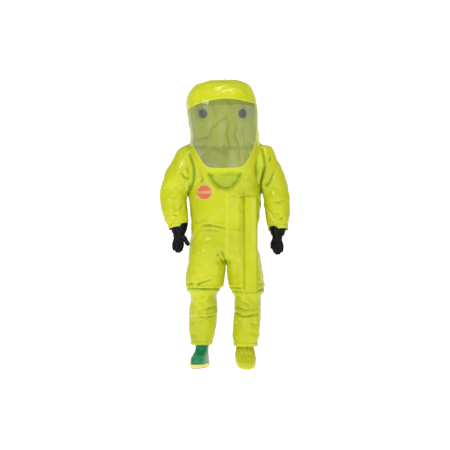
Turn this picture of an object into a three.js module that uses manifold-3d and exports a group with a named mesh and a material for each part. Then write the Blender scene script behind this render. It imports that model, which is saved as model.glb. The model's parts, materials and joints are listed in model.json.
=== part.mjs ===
// A gas-tight chemical protective suit, standing as it is worn: hood with a wide face shield, expanded back,
// zip under a storm flap, black gloves, one green safety boot and one bare sock foot.
// Millimetres, +Z up. The wearer faces -Y, so the wearer's right is -X. The origin is on the floor, in the
// middle.
import * as THREE from "three";
import { mergeVertices } from "three/addons/utils/BufferGeometryUtils.js";
import Module from "manifold-3d";

const wasm = await Module();
wasm.setup();

// ---------------------------------------------------------------- driving dimensions
const WALL = 3; // garment wall, with its seams and lining
const SHIELD_WALL = 2; // face shield laminate
const GAP = 0.4; // room between pieces that lie against each other
const LAID_ON = 1.2; // room under a tape or patch that follows the wall's curve
const RUNNING = 3; // room round the ball of a limb that bends

// Trunk and hood: [x, y, z, half width, half depth] of level hoops, from the crotch to the crown.
const TRUNK = [
  [-6, -8, 716, 243, 142],
  [-12, 0, 790, 231, 150],
  [-4, 15, 911, 221, 165],
  [2, 38, 1033, 238, 192],
  [0, 48, 1130, 245, 206],
  [0, 46, 1200, 246, 210],
  [0, 30, 1280, 246, 234],
  [2, 26, 1380, 240, 233],
  [2, 20, 1480, 226, 225],
  [-8, 12, 1595, 229, 214],
  [-20, 7, 1717, 237, 207],
  [-28, 7, 1775, 234, 197],
  [-25, 9, 1820, 219, 175],
  [-18, 12, 1856, 194, 143],
  [-11, 13, 1885, 150, 98],
  [-8, 14, 1897, 98, 54],
];
const CROWN = [-8, 14, 1900];
const TRUNK_STEPS = 16;
const TRUNK_SIDES = 24;
const TRUNK_POWER = 2.8; // of the super-ellipse that every trunk hoop is
const HOOD_SEAM_Z = 1462; // hood above, torso below
const SIDE_SEAM_Y = 20; // torso back behind, torso fronts before
const FRONT_SEAM_X = 12; // between the two torso fronts
const LEG_SEAM_Z = 716;

// Face shield outline, seen from the front: [x, z], from the wearer's right brow round below to the left one.
const SHIELD_EDGE = [
  [-238, 1722],
  [-224, 1635],
  [-204, 1524],
  [-166, 1403],
  [-104, 1322],
  [-8, 1296],
  [100, 1318],
  [158, 1392],
  [190, 1480],
  [206, 1600],
  [211, 1742],
];
const BINDING = 11; // half the width of the tape round the shield
const TAPE = 1.6; // thickness of that tape and of the label
const SHIELD_ROOM = 1.1; // between the shield's edge and the cloth round it
const LABEL = { centre: [-133, 1163], radius: 54 };
const BIB = { sides: [[-176, 1440], [168, 1430]], bottom: [6, 1170] };

// Limbs: hoops [x, y, z, half width, half depth] that follow the limb.
const SIDE_NAMES = ["right", "left"];
const SHOULDERS = { right: [-243, 15, 1325], left: [250, 15, 1332] };
const SHOULDER_R = 118;
const ELBOWS = { right: [-345, 8, 1120], left: [343, 8, 1120] };
const ELBOW_R = 91;
const ELBOW_BEND = 60;
const UPPER_SLEEVES = {
  right: [[-311, 14, 1240, 103, 103], [-338, 10, 1160, 97, 97], [-345, 8, 1120, 96, 96]],
  left: [[312, 14, 1245, 98, 100], [335, 10, 1162, 96, 97], [343, 8, 1120, 96, 96]],
};
const LOWER_SLEEVES = {
  right: [[-341, 2, 1050, 88, 87], [-330, -12, 987, 76, 77], [-313, -28, 926, 61, 63]],
  left: [[350, 2, 1045, 84, 86], [352, -12, 976, 74, 76], [349, -28, 914, 62, 63]],
};
const KNEES = { right: [-142, 8, 505], left: [150, -18, 500] };
const KNEE_R = 96;
const KNEE_BEND = 50;
const UPPER_LEGS = {
  right: [
    [-126, -8, 715.5, 121, 140],
    [-135, -4, 627, 127, 132],
    [-142, 2, 545, 127, 124],
    [-142, 6, 492, 114, 116],
  ],
  left: [
    [124, -5, 715.5, 114, 131],
    [142, -8, 627, 115, 120],
    [149, -12, 545, 121, 122],
    [151, -14, 480, 122, 116],
  ],
};
const LOWER_LEGS = {
  right: [[-141, 16, 440, 93, 93], [-142, 24, 383, 95, 92], [-146, 32, 310, 88, 90]],
  left: [[150, -28, 430, 98, 94], [149, -34, 383, 89, 92], [143, -46, 270, 87, 90]],
};
const SHIN_SEAMS = { right: 330, left: 290 }; // leg and sock above and inside, splash flap below
const SPLASH_FLAPS = {
  right: [
    [-147, 34, 330, 90, 92],
    [-150, 42, 240, 86, 92],
    [-156, 52, 170, 76, 90],
    [-158, 54, 142, 67, 88],
  ],
  left: [
    [142.5, -48, 290, 88, 92],
    [139, -60, 220, 88, 90],
    [136, -68, 160, 82, 86],
    [136, -70, 142, 79, 84],
  ],
};

// Hands and feet.
const WRISTS = { right: [-309, -38, 880], left: [347, -38, 868] };
const WRIST_BALL_R = 37;
const BOOT = { heel: [-138, 122], turn: -11, length: 292, width: 106, sole: 26, shaft: 300 };
const SOCK = { heel: [125, 8], turn: 5, length: 262, width: 138 };

// Zip and storm flap, down the wearer's left front.
const ZIP_X = 168;
const ZIP_Z = [508, 1108];
const PLACKET = { x: [136, 201], front: -137 };
const FLAP_Z = [500, 1120];
const FLAP_SECTION = [[128, -151.5], [150, -153.5], [168, -153.5], [188, -148.5], [206, -142]];
const FLAP_THICK = 2.4;
const HOOK_AND_LOOP_Z = [520, 1100];
const HOOK_AND_LOOP = 1.2; // thickness of either strip

// Exhaust valves, on the back of the hood.
const VALVE_Z = 1692;
const VALVE_TURN = 31; // of the valve's axis from +Y towards its own side

const COVER_WIDTH = 96;

const BELT_Z = [888, 926];
const LOOP_AT = [0, 252, 1402];
const LOOP_WIDTH = 24;

// ---------------------------------------------------------------- materials
const paint = (color, roughness, metalness = 0, opacity = 1) =>
  new THREE.MeshStandardMaterial({ color, roughness, metalness, opacity, transparent: opacity < 1 });
const LIME = paint(0xd3db2c, 0.35);
const LIME_TAPE = paint(0xe2e458, 0.4);
const CLEAR = paint(0xc9cfbd, 0.08, 0, 0.3);
const BLACK_RUBBER = paint(0x141518, 0.4);
const BLACK_PLASTIC = paint(0x1b1c1e, 0.45);
const GREY_WEBBING = paint(0x55585a, 0.8);
const HOOK_TAPE = paint(0xb9c43a, 0.9);
const BRASS = paint(0xb08d3c, 0.35, 1);
const GREEN_BOOT = paint(0x1f8b58, 0.4);
const YELLOW_SOLE = paint(0xd9c94a, 0.55);
const ORANGE = paint(0xe5823f, 0.5);
const STEEL = paint(0xb5b8bb, 0.3, 1);

// ---------------------------------------------------------------- solids and booleans
const BIG = 3000;

/** A closed geometry as a manifold solid with its faces pointing out. */
function solid(geometry) {
  const bare = geometry.clone();
  bare.deleteAttribute("normal");
  bare.deleteAttribute("uv");
  const merged = mergeVertices(bare, 1e-4);
  const triVerts = new Uint32Array(merged.index.array);
  const vertProperties = new Float32Array(merged.attributes.position.array);
  const make = () => new wasm.Manifold(new wasm.Mesh({ numProp: 3, vertProperties, triVerts }));
  const made = make();
  if (made.volume() > 0) return made;
  for (let i = 0; i < triVerts.length; i += 3) {
    [triVerts[i], triVerts[i + 1]] = [triVerts[i + 1], triVerts[i]];
  }
  return make();
}

/** A manifold solid's surface as a three.js geometry. */
function surface(made) {
  const mesh = made.getMesh();
  const geometry = new THREE.BufferGeometry();
  geometry.setAttribute("position", new THREE.BufferAttribute(new Float32Array(mesh.vertProperties), 3));
  geometry.setIndex(new THREE.BufferAttribute(new Uint32Array(mesh.triVerts), 1));
  geometry.computeVertexNormals();
  return geometry;
}

/** A box from its lowest to its highest corner. */
function box(low, high) {
  const size = high.map((h, k) => h - low[k]);
  const middle = high.map((h, k) => (h + low[k]) / 2);
  return new THREE.BoxGeometry(...size).translate(...middle);
}

const beyond = (axis, from) => solid(box([0, 1, 2].map((k) => (k === axis ? from : -BIG)), [BIG, BIG, BIG]));
const before = (axis, to) => solid(box([-BIG, -BIG, -BIG], [0, 1, 2].map((k) => (k === axis ? to : BIG))));
const ball = (centre, radius, sides = 20) =>
  solid(new THREE.SphereGeometry(radius, sides, Math.round(sides * 0.6)).translate(...centre));

/** A drawing in the XZ plane, as [x, z], pushed through from low y to high y. */
function throughY(shape, lowY, highY) {
  const options = { depth: highY - lowY, bevelEnabled: false, curveSegments: 10 };
  const geometry = new THREE.ExtrudeGeometry(shape, options);
  return solid(geometry.rotateX(Math.PI / 2).translate(0, highY, 0));
}

/** The half space above a plane through a limb's pivot, tilted up from level by an angle towards y * side. */
function wedge(pivot, side, angle) {
  const tilt = THREE.MathUtils.degToRad(angle) * side;
  return solid(box([-BIG, -BIG, 0], [BIG, BIG, BIG]).rotateX(tilt).translate(...pivot));
}

// ---------------------------------------------------------------- lofted walls
/** Points round a super-ellipse hoop that stands square to normal. */
function hoop([x, y, z, a, b], normal, grow, sides, power) {
  const across = new THREE.Vector3(1, 0, 0).addScaledVector(normal, -normal.x).normalize();
  const along = new THREE.Vector3().crossVectors(normal, across);
  const bulge = (value) => Math.sign(value) * Math.abs(value) ** (2 / power);
  return Array.from({ length: sides }, (_, i) => {
    const turn = (i / sides) * 2 * Math.PI;
    return new THREE.Vector3(x, y, z)
      .addScaledVector(across, bulge(Math.cos(turn)) * (a + grow))
      .addScaledVector(along, bulge(Math.sin(turn)) * (b + grow));
  });
}

/** Joins rings of equally many points, or of one point at a pole. A loop joins the last ring to the first. */
function skin(rings, loop) {
  const start = [];
  const points = [];
  for (const ring of rings) {
    start.push(points.length);
    points.push(...ring);
  }
  const index = [];
  for (let r = 0; r < rings.length - (loop ? 0 : 1); r++) {
    const s = (r + 1) % rings.length;
    const sides = Math.max(rings[r].length, rings[s].length);
    const at = (ring, i) => start[ring] + (i % rings[ring].length);
    for (let i = 0; i < sides; i++) {
      if (rings[s].length > 1) index.push(at(r, i), at(s, i + 1), at(s, i));
      if (rings[r].length > 1) index.push(at(r, i), at(r, i + 1), at(s, i + 1));
    }
  }
  return new THREE.BufferGeometry().setFromPoints(points).setIndex(index);
}

/** Stations with more between them, on a smooth curve through the ones given. */
function smooth(stations, steps) {
  const curve = (pick) => new THREE.CatmullRomCurve3(stations.map(pick), false, "catmullrom", 0.5);
  const places = curve(([x, y, z]) => new THREE.Vector3(x, y, z));
  const sizes = curve(([, , , a, b]) => new THREE.Vector3(a, b, 0));
  return Array.from({ length: steps + 1 }, (_, i) => {
    const size = sizes.getPoint(i / steps);
    return [...places.getPoint(i / steps).toArray(), size.x, size.y];
  });
}

/** Hoops along stations: level ones, or square to the line through their centres. */
function hoops(stations, grow, { sides, power = 2, level = false }) {
  const centres = stations.map(([x, y, z]) => new THREE.Vector3(x, y, z));
  return stations.map((station, i) => {
    const ahead = centres[Math.min(i + 1, centres.length - 1)];
    const behind = centres[Math.max(i - 1, 0)];
    const normal = level ? new THREE.Vector3(0, 0, 1) : ahead.clone().sub(behind).normalize();
    return hoop(station, normal, grow, sides, power);
  });
}

/** A tube with both ends open and a wall of the given thickness inside its outer hoops. */
function tubeWall(stations, wall, options) {
  const inner = hoops(stations, -wall, options).reverse();
  return solid(skin([...hoops(stations, 0, options), ...inner], true));
}

/** The same tube, filled. */
function tubeCore(stations, grow, options) {
  const rings = hoops(stations, grow, options);
  const middle = ([x, y, z]) => [new THREE.Vector3(x, y, z)];
  return solid(skin([middle(stations[0]), ...rings, middle(stations.at(-1))], false));
}

/** Keeps what lies above a level. */
const above = (made, z) => made.intersect(beyond(2, z));

/** Stations of the round end of a bending limb at its pivot, from its mouth round to its widest hoop. */
function ballEnd(pivot, towards, radius, mouthTurn, steps) {
  const way = new THREE.Vector3(...towards).sub(new THREE.Vector3(...pivot)).normalize();
  return Array.from({ length: steps }, (_, i) => {
    const turn = THREE.MathUtils.degToRad(mouthTurn * (1 - i / (steps - 1)));
    const centre = new THREE.Vector3(...pivot).addScaledVector(way, -radius * Math.sin(turn));
    return [...centre.toArray(), radius * Math.cos(turn), radius * Math.cos(turn)];
  });
}

// ---------------------------------------------------------------- trunk and hood
const LIMB = { sides: 14 };
const LEG = { sides: 18, power: 2.3 };
const TRUNK_OPTIONS = { sides: TRUNK_SIDES, power: TRUNK_POWER, level: true };
const trunkStations = smooth(TRUNK, TRUNK_STEPS);

/** The trunk's outside grown by a distance, as a filled solid. */
function trunkCore(grow) {
  const [x, y, z] = CROWN;
  const rings = hoops(trunkStations, grow, TRUNK_OPTIONS);
  const [footX, footY, footZ] = trunkStations[0];
  const foot = [new THREE.Vector3(footX, footY, footZ)];
  const crown = [new THREE.Vector3(x, y, z + grow)];
  return solid(skin([foot, ...rings, crown], false));
}

/** The part of the trunk's wall between two distances from its outside. */
function trunkLayer(outer, inner) {
  const [x, y, z] = CROWN;
  const outside = hoops(trunkStations, outer, TRUNK_OPTIONS);
  const inside = hoops(trunkStations, inner, TRUNK_OPTIONS).reverse();
  const poles = [[new THREE.Vector3(x, y, z + outer)], [new THREE.Vector3(x, y, z + inner)]];
  return solid(skin([...outside, ...poles, ...inside], true));
}

/** A drawing in the XZ plane through points, smooth between them, with every point moved out by grow. */
function smoothOutline(points, grow) {
  const line = new THREE.SplineCurve(points.map(([x, z]) => new THREE.Vector2(x, z))).getPoints(24);
  const moved = line.map((p, i) => {
    const along = line[Math.min(i + 1, line.length - 1)].clone().sub(line[Math.max(i - 1, 0)]).normalize();
    return new THREE.Vector2(p.x + along.y * grow, p.y - along.x * grow);
  });
  moved[0].y += grow;
  moved[moved.length - 1].y += grow;
  return new THREE.Shape(moved);
}

/** The face shield's outline pushed through the front half, with every edge moved out by grow. */
const shieldPrism = (grow) => throughY(smoothOutline(SHIELD_EDGE, grow), -400, 0);

/** The crescent of the bib under the shield, pushed through the front. */
function bibPrism(grow) {
  const [right, left] = BIB.sides;
  const [x, z] = BIB.bottom;
  const sag = [right, [-104, 1236], [x, z], [104, 1236], left];
  return throughY(smoothOutline(sag, grow), -400, -40).subtract(shieldPrism(SHIELD_ROOM));
}

/** The room that a sleeve needs in the torso. */
function shoulderRoom(side) {
  const [x, y, z] = SHOULDERS[side];
  const sleeve = [[x, y, z, SHOULDER_R, SHOULDER_R], ...UPPER_SLEEVES[side]];
  return ball(SHOULDERS[side], SHOULDER_R + RUNNING, 24).add(tubeCore(sleeve, RUNNING, LIMB));
}

const zipSlot = solid(box([ZIP_X - 9, -200, ZIP_Z[0] + 8], [ZIP_X + 9, -60, ZIP_Z[1] - 8]));
const valveWays = SIDE_NAMES.map((side) => valvePiece(side, [[0, -30], [21, -30], [21, 30], [0, 30]]));

function makeTrunk() {
  const cloth = trunkLayer(0, -WALL).subtract(shieldPrism(SHIELD_ROOM));
  const hood = valveWays.reduce((left, way) => left.subtract(way), cloth.intersect(beyond(2, HOOD_SEAM_Z)));
  const uncut = cloth.intersect(before(2, HOOD_SEAM_Z - GAP));
  const torso = SIDE_NAMES.reduce((left, side) => left.subtract(shoulderRoom(side)), uncut);
  const back = torso.intersect(beyond(1, SIDE_SEAM_Y));
  const front = torso.intersect(before(1, SIDE_SEAM_Y - GAP));
  const fronts = front.subtract(bibPrism(GAP));
  return {
    hood_shell: [hood, LIME],
    chest_bib: [front.intersect(bibPrism(0)), LIME],
    torso_front_right: [fronts.intersect(before(0, FRONT_SEAM_X - GAP)), LIME],
    torso_front_left: [fronts.intersect(beyond(0, FRONT_SEAM_X)).subtract(zipSlot), LIME],
    torso_back: [back, LIME],
  };
}

function makeShield() {
  const ring = shieldPrism(BINDING).subtract(shieldPrism(-BINDING));
  const binding = trunkLayer(LAID_ON + TAPE, LAID_ON).intersect(ring);
  return {
    face_shield: [trunkLayer(0, -SHIELD_WALL).intersect(shieldPrism(0)), CLEAR],
    face_shield_binding: [binding, LIME_TAPE],
  };
}

/** An eight-sided patch that lies on the chest. */
function makeLabel() {
  const { centre, radius } = LABEL;
  const corners = Array.from({ length: 8 }, (_, i) => {
    const turn = ((i + 0.5) / 8) * 2 * Math.PI;
    return new THREE.Vector2(centre[0] + radius * Math.cos(turn), centre[1] + radius * Math.sin(turn));
  });
  const patch = trunkLayer(LAID_ON + TAPE, LAID_ON).intersect(throughY(new THREE.Shape(corners), -400, -20));
  return { chest_label: [patch, ORANGE] };
}

// ---------------------------------------------------------------- sleeves and legs

function makeSleeves(side) {
  const shoulder = ballEnd(SHOULDERS[side], UPPER_SLEEVES[side][0], SHOULDER_R, 20, 3);
  const upper = tubeWall([...shoulder, ...UPPER_SLEEVES[side]], WALL, LIMB)
    .subtract(ball(ELBOWS[side], ELBOW_R + RUNNING))
    .intersect(wedge(ELBOWS[side], -1, ELBOW_BEND - 14))
    .intersect(beyond(2, ELBOWS[side][2]));
  const elbow = ballEnd(ELBOWS[side], LOWER_SLEEVES[side][0], ELBOW_R, 45, 4);
  return {
    [`sleeve_upper_${side}`]: [upper, LIME],
    [`sleeve_lower_${side}`]: [tubeWall([...elbow, ...LOWER_SLEEVES[side]], WALL, LIMB), LIME],
  };
}

function makeLegs(side) {
  // The thigh keeps its front down over the knee, and its back is cut away for the calf.
  const front = before(1, KNEES[side][1]).intersect(beyond(2, 400));
  const upper = tubeWall(smooth(UPPER_LEGS[side], 5), WALL, { ...LEG, level: true })
    .subtract(ball(KNEES[side], KNEE_R + RUNNING))
    .intersect(wedge(KNEES[side], 1, KNEE_BEND - 10).add(front));
  const knee = ballEnd(KNEES[side], LOWER_LEGS[side][0], KNEE_R, 45, 4);
  const lower = tubeWall([...knee, ...LOWER_LEGS[side]], WALL, LEG);
  const flap = tubeWall(smooth(SPLASH_FLAPS[side], 4), WALL, { ...LEG, level: true });
  return {
    [`leg_upper_${side}`]: [side === "left" ? upper.subtract(zipSlot) : upper, LIME],
    [`leg_lower_${side}`]: [above(lower, SHIN_SEAMS[side] + GAP), LIME],
    [`splash_flap_${side}`]: [flap, LIME],
  };
}

// ---------------------------------------------------------------- gloves
/** A round rod with round ends from one point to another. */
function rod(from, to, radius, sides = 8) {
  const a = new THREE.Vector3(...from);
  const b = new THREE.Vector3(...to);
  const geometry = new THREE.CapsuleGeometry(radius, a.distanceTo(b), 2, sides);
  const way = b.clone().sub(a).normalize();
  const turn = new THREE.Quaternion().setFromUnitVectors(new THREE.Vector3(0, 1, 0), way);
  const middle = a.add(b).multiplyScalar(0.5);
  return solid(geometry.applyQuaternion(turn).translate(...middle.toArray()));
}

// Each finger runs from a knuckle to its tip, as offsets from the wrist with the thumb's side at +x.
const FINGERS = [
  { from: [-28, -8, -62], to: [-26, -28, -88], radius: 11 },
  { from: [-10, -10, -68], to: [-9, -28, -99], radius: 12 },
  { from: [9, -10, -68], to: [8, -26, -101], radius: 12 },
  { from: [27, -8, -62], to: [21, -20, -92], radius: 11.5 },
  { from: [22, -12, -30], to: [48, -26, -66], radius: 12.5 },
];

function makeGlove(side) {
  const [x, y, z] = WRISTS[side];
  const inward = side === "right" ? 1 : -1; // the thumb is next to the body
  const place = ([dx, dy, dz]) => [x + inward * dx, y + dy, z + dz];
  const palm = solid(new THREE.SphereGeometry(1, 10, 7).scale(40, 23, 42).translate(...place([-1, -6, -48])));
  const heel = rod(place([0, 0, 0]), place([0, -3, -28]), 26, 10);
  const hand = FINGERS.reduce(
    (joined, { from, to, radius }) => joined.add(rod(place(from), place(to), radius)),
    palm.add(heel).add(ball(WRISTS[side], WRIST_BALL_R, 12)),
  );
  const end = new THREE.Vector3(...LOWER_SLEEVES[side].at(-1).slice(0, 3));
  const down = new THREE.Vector3(x, y, z).sub(end).normalize();
  const ringAt = (distance, radius) => {
    const middle = end.clone().addScaledVector(down, distance);
    return [...middle.toArray(), radius, radius];
  };
  const round = { sides: 14 };
  const gauntlet = [ringAt(-34, 52.5), ringAt(-8, 52.5), ringAt(20, 48), ringAt(42, 44.5)];
  return {
    [`glove_ring_${side}`]: [tubeWall([ringAt(-32, 49.8), ringAt(-8, 49.8)], 4, round), BLACK_PLASTIC],
    [`glove_clamp_${side}`]: [tubeWall([ringAt(-24, 55.4), ringAt(-13, 55.4)], 1.8, round), STEEL],
    [`glove_gauntlet_${side}`]: [tubeWall(gauntlet, 2, round), BLACK_RUBBER],
    [`glove_hand_${side}`]: [hand, BLACK_RUBBER],
  };
}

// ---------------------------------------------------------------- feet
/** A level hoop of a foot: back and front are shares of its length from the heel. */
function footStation({ heel, turn, length }, z, back, front, width) {
  const way = new THREE.Vector2(0, -1).rotateAround(new THREE.Vector2(), THREE.MathUtils.degToRad(turn));
  const middle = way.multiplyScalar((length * (back + front)) / 2);
  return [heel[0] + middle.x, heel[1] + middle.y, z, width / 2, (length * (front - back)) / 2];
}

/** A foot's hoops, turned with it. */
function footHoops(foot, stations, grow, power) {
  const turn = THREE.MathUtils.degToRad(foot.turn);
  return stations.map(([x, y, z, a, b]) =>
    hoop([0, 0, z, a, b], new THREE.Vector3(0, 0, 1), grow, 16, power).map((p) =>
      p.applyAxisAngle(new THREE.Vector3(0, 0, 1), turn).add(new THREE.Vector3(x, y, 0)),
    ),
  );
}

/** A sock or boot: closed at the sole, open at the top. */
function footWall(foot, profile, wall, floor, power) {
  const stations = profile.map(([z, back, front, width]) => footStation(foot, z, back, front, width));
  const inner = stations.map(([x, y, z, a, b], i) => [x, y, i === 0 ? z + floor : z, a, b]);
  const pole = ([x, y, z]) => [new THREE.Vector3(x, y, z)];
  const outside = footHoops(foot, stations, 0, power);
  const inside = footHoops(foot, inner, -wall, power);
  return solid(skin([pole(inner[0]), ...inside, ...outside.reverse(), pole(stations[0])], true));
}

function makeSock() {
  const profile = [
    [0, 0.05, 0.95, SOCK.width - 22],
    [22, 0, 1, SOCK.width],
    [52, -0.01, 0.97, SOCK.width],
    [78, 0.0, 0.82, SOCK.width - 4],
    [100, 0.02, 0.66, SOCK.width - 8],
    [125, 0.04, 0.57, SOCK.width - 14],
    [170, 0.02, 0.53, SOCK.width - 16],
    [286, -0.02, 0.48, SOCK.width - 14],
  ];
  return { sock_left: [footWall(SOCK, profile, WALL, WALL, 2.3), LIME] };
}

function makeBoot() {
  const { sole, shaft, width } = BOOT;
  const profile = [
    [sole + GAP, 0.03, 0.97, width - 8],
    [sole + 22, 0.02, 0.98, width - 2],
    [sole + 44, 0.03, 0.93, width - 8],
    [sole + 62, 0.05, 0.72, width - 16],
    [sole + 82, 0.06, 0.52, width - 22],
    [sole + 110, 0.05, 0.46, width - 20],
    [sole + 160, 0.02, 0.47, width - 10],
    [shaft, 0.01, 0.45, width - 2],
  ];
  const upper = footWall(BOOT, profile, 4, 4, 2.4);
  const tread = [[0, 0, 0.99, width - 2], [10, 0, 1, width + 2], [sole, 0, 1, width + 2]];
  const stations = tread.map(([z, back, front, wide]) => footStation(BOOT, z, back, front, wide));
  const rings = footHoops(BOOT, stations, 0, 2.5);
  const arch = solid(box([-60, -0.43 * BOOT.length, -1], [60, -0.34 * BOOT.length, 7]));
  const pole = ([x, y, z]) => [new THREE.Vector3(x, y, z)];
  const plate = solid(skin([pole(stations[0]), ...rings, pole(stations.at(-1))], false));
  const archAt = surface(arch).rotateZ(THREE.MathUtils.degToRad(BOOT.turn)).translate(...BOOT.heel, 0);
  return {
    boot_upper: [upper, GREEN_BOOT],
    boot_sole: [plate.subtract(solid(archAt)), YELLOW_SOLE],
  };
}

/** The other sock hangs, gathered, inside the boot. */
function makeGatheredSock() {
  const [shaftX, shaftY] = footStation(BOOT, 0, 0.01, 0.45, 0);
  const heights = [[62, 26], [110, 33], [200, 38], [286, 42]];
  const stations = heights.map(([z, radius]) => [shaftX, shaftY, z, radius, radius]);
  const [x, y, z] = stations[0];
  const outer = hoops(stations, 0, { sides: 12, level: true });
  const inner = hoops(stations, -WALL, { sides: 12, level: true });
  const tip = [new THREE.Vector3(x, y, z - 8)];
  const innerTip = [new THREE.Vector3(x, y, z - 8 + WALL)];
  return { sock_right: [solid(skin([innerTip, ...inner, ...outer.reverse(), tip], true)), LIME] };
}

// ---------------------------------------------------------------- zip and storm flap
function makeZip() {
  const legCore = tubeCore(smooth(UPPER_LEGS.left, 5), GAP, { ...LEG, level: true });
  const [lowZ, highZ] = FLAP_Z;
  const block = box([PLACKET.x[0], PLACKET.front, lowZ + 4], [PLACKET.x[1], -70, highZ - 4]);
  const placket = solid(block)
    .subtract(trunkCore(GAP))
    .subtract(legCore)
    .decompose()
    .sort((a, b) => b.volume() - a.volume())[0];
  const tapeFront = PLACKET.front - GAP - 1.2;
  const chainFront = tapeFront - GAP - 3.2;
  const bar = (halfWidth, low, high, bottom, top) =>
    solid(box([ZIP_X - halfWidth, low, bottom], [ZIP_X + halfWidth, high, top]));
  const sliderZ = [ZIP_Z[1] - 42, ZIP_Z[1] - 8];
  const slider = bar(11, chainFront - 3.4, tapeFront - GAP, ...sliderZ)
    .subtract(bar(4.6, chainFront - GAP, tapeFront + 1, 0, BIG));
  const postZ = sliderZ[1] - 8;
  const faceY = chainFront - 3.4;
  const pull = bar(6.5, faceY - GAP - 1.8, faceY - GAP, postZ - 42, postZ + 6)
    .subtract(bar(3.5, faceY - 9, faceY + 9, postZ - 37, postZ - 20));
  return {
    zipper_placket: [placket, LIME],
    zipper_tape: [bar(17, tapeFront, PLACKET.front - GAP, ...ZIP_Z), GREY_WEBBING],
    zipper_chain: [bar(4, chainFront, tapeFront - GAP, ZIP_Z[0] + 10, ZIP_Z[1] - 8 + GAP), BRASS],
    zipper_top_stop: [bar(7, chainFront - 1, tapeFront - GAP, ZIP_Z[1] - 7, ZIP_Z[1] - 1), BRASS],
    zipper_bottom_stop: [bar(7, chainFront - 1, tapeFront - GAP, ZIP_Z[0] + 2, ZIP_Z[0] + 9), BRASS],
    zipper_slider: [slider, BRASS],
    zipper_pull: [pull, BRASS],
  };
}

/** A strip that follows part of the flap's section, on one side of it, from low z to high z. */
function flapStrip(points, near, far, lowZ, highZ) {
  const curve = new THREE.SplineCurve(points.map(([x, y]) => new THREE.Vector2(x, y)));
  const line = curve.getPoints(8);
  const edge = (offset) =>
    line.map((p, i) => {
      const ahead = line[Math.min(i + 1, line.length - 1)];
      const behind = line[Math.max(i - 1, 0)];
      const along = ahead.clone().sub(behind).normalize();
      return new THREE.Vector2(p.x - along.y * offset, p.y + along.x * offset);
    });
  const outline = new THREE.Shape([...edge(near), ...edge(far).reverse()]);
  const geometry = new THREE.ExtrudeGeometry(outline, { depth: highZ - lowZ, bevelEnabled: false });
  return solid(geometry.translate(0, 0, lowZ));
}

function makeFlap() {
  const [low, high] = HOOK_AND_LOOP_Z;
  const near = FLAP_THICK / 2 + GAP;
  const hookStrip = flapStrip([[190, -147.9], [203, -143.2]], near, near + HOOK_AND_LOOP, low, high);
  const loopY = PLACKET.front - GAP;
  return {
    storm_flap: [flapStrip(FLAP_SECTION, -FLAP_THICK / 2, FLAP_THICK / 2, ...FLAP_Z), LIME],
    flap_hook_strip: [hookStrip, HOOK_TAPE],
    flap_loop_strip: [solid(box([187, loopY - HOOK_AND_LOOP, low], [200, loopY, high])), HOOK_TAPE],
  };
}

// ---------------------------------------------------------------- exhaust valves
/** Turns a geometry that points along +Y to a valve's axis, and puts it where that axis leaves the hood. */
function onValve(geometry, side) {
  const outward = side === "right" ? 1 : -1;
  const turn = THREE.MathUtils.degToRad(VALVE_TURN) * outward;
  const way = new THREE.Vector3(-Math.sin(turn), Math.cos(turn), 0);
  const slice = trunkCore(0).intersect(solid(box([-BIG, -BIG, VALVE_Z - 30], [BIG, BIG, VALVE_Z + 30])));
  const corners = surface(slice).attributes.position;
  const corner = (i) => new THREE.Vector3().fromBufferAttribute(corners, i);
  const points = Array.from({ length: corners.count }, (_, i) => corner(i));
  const spot = points.reduce((best, p) => (p.dot(way) > best.dot(way) ? p : best));
  return geometry.rotateZ(turn).translate(spot.x, spot.y, VALVE_Z);
}

/** A turned piece on a valve's axis: profile is [radius, distance out from the hood's wall]. */
function valvePiece(side, profile, sides = 14) {
  const geometry = new THREE.LatheGeometry(profile.map(([r, d]) => new THREE.Vector2(r, d)), sides);
  return solid(onValve(geometry, side));
}

function makeValve(side) {
  const flange = [[14, -16], [14, -20], [31, -20], [31, -16]];
  const barrel = [[20.5, -16], [20.5, 9], [17, 9], [17, -16]];
  const body = [...flange, ...barrel, flange[0]];
  const nut = [[20.9, 1.5], [29, 1.5], [29, 6.5], [20.9, 6.5], [20.9, 1.5]];
  const disc = [[0, -15.5], [16.2, -15.5], [16.2, -13.8], [4, -12.4], [0, -12.4]];
  const cap = [[0, 9.4], [24, 9.4], [24, 7.2], [26, 7.2], [26, 12], [18, 16], [0, 17]];
  return {
    [`valve_body_${side}`]: [valvePiece(side, body), BLACK_PLASTIC],
    [`valve_nut_${side}`]: [valvePiece(side, nut), BLACK_PLASTIC],
    [`valve_disc_${side}`]: [valvePiece(side, disc), BLACK_RUBBER],
    [`valve_cap_${side}`]: [valvePiece(side, cap), BLACK_PLASTIC],
    [`valve_cover_${side}`]: [makeCover(side), LIME],
  };
}

/** The splash cover over a valve: a shallow fabric hood, sewn along its top and open below. */
function makeCover(side) {
  const profile = new THREE.Shape([
    new THREE.Vector2(1.2, 62),
    new THREE.Vector2(3.6, 62),
    new THREE.Vector2(28, 38),
    new THREE.Vector2(30, -52),
    new THREE.Vector2(28, -52),
    new THREE.Vector2(26, 37),
  ]);
  const options = { depth: COVER_WIDTH, bevelEnabled: false };
  const geometry = new THREE.ExtrudeGeometry(profile, options).translate(0, 0, -COVER_WIDTH / 2);
  geometry.rotateX(Math.PI / 2); // the drawing's height is now z, and its width y
  geometry.rotateZ(Math.PI / 2); // and its distance out is y
  return solid(onValve(geometry, side));
}

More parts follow.
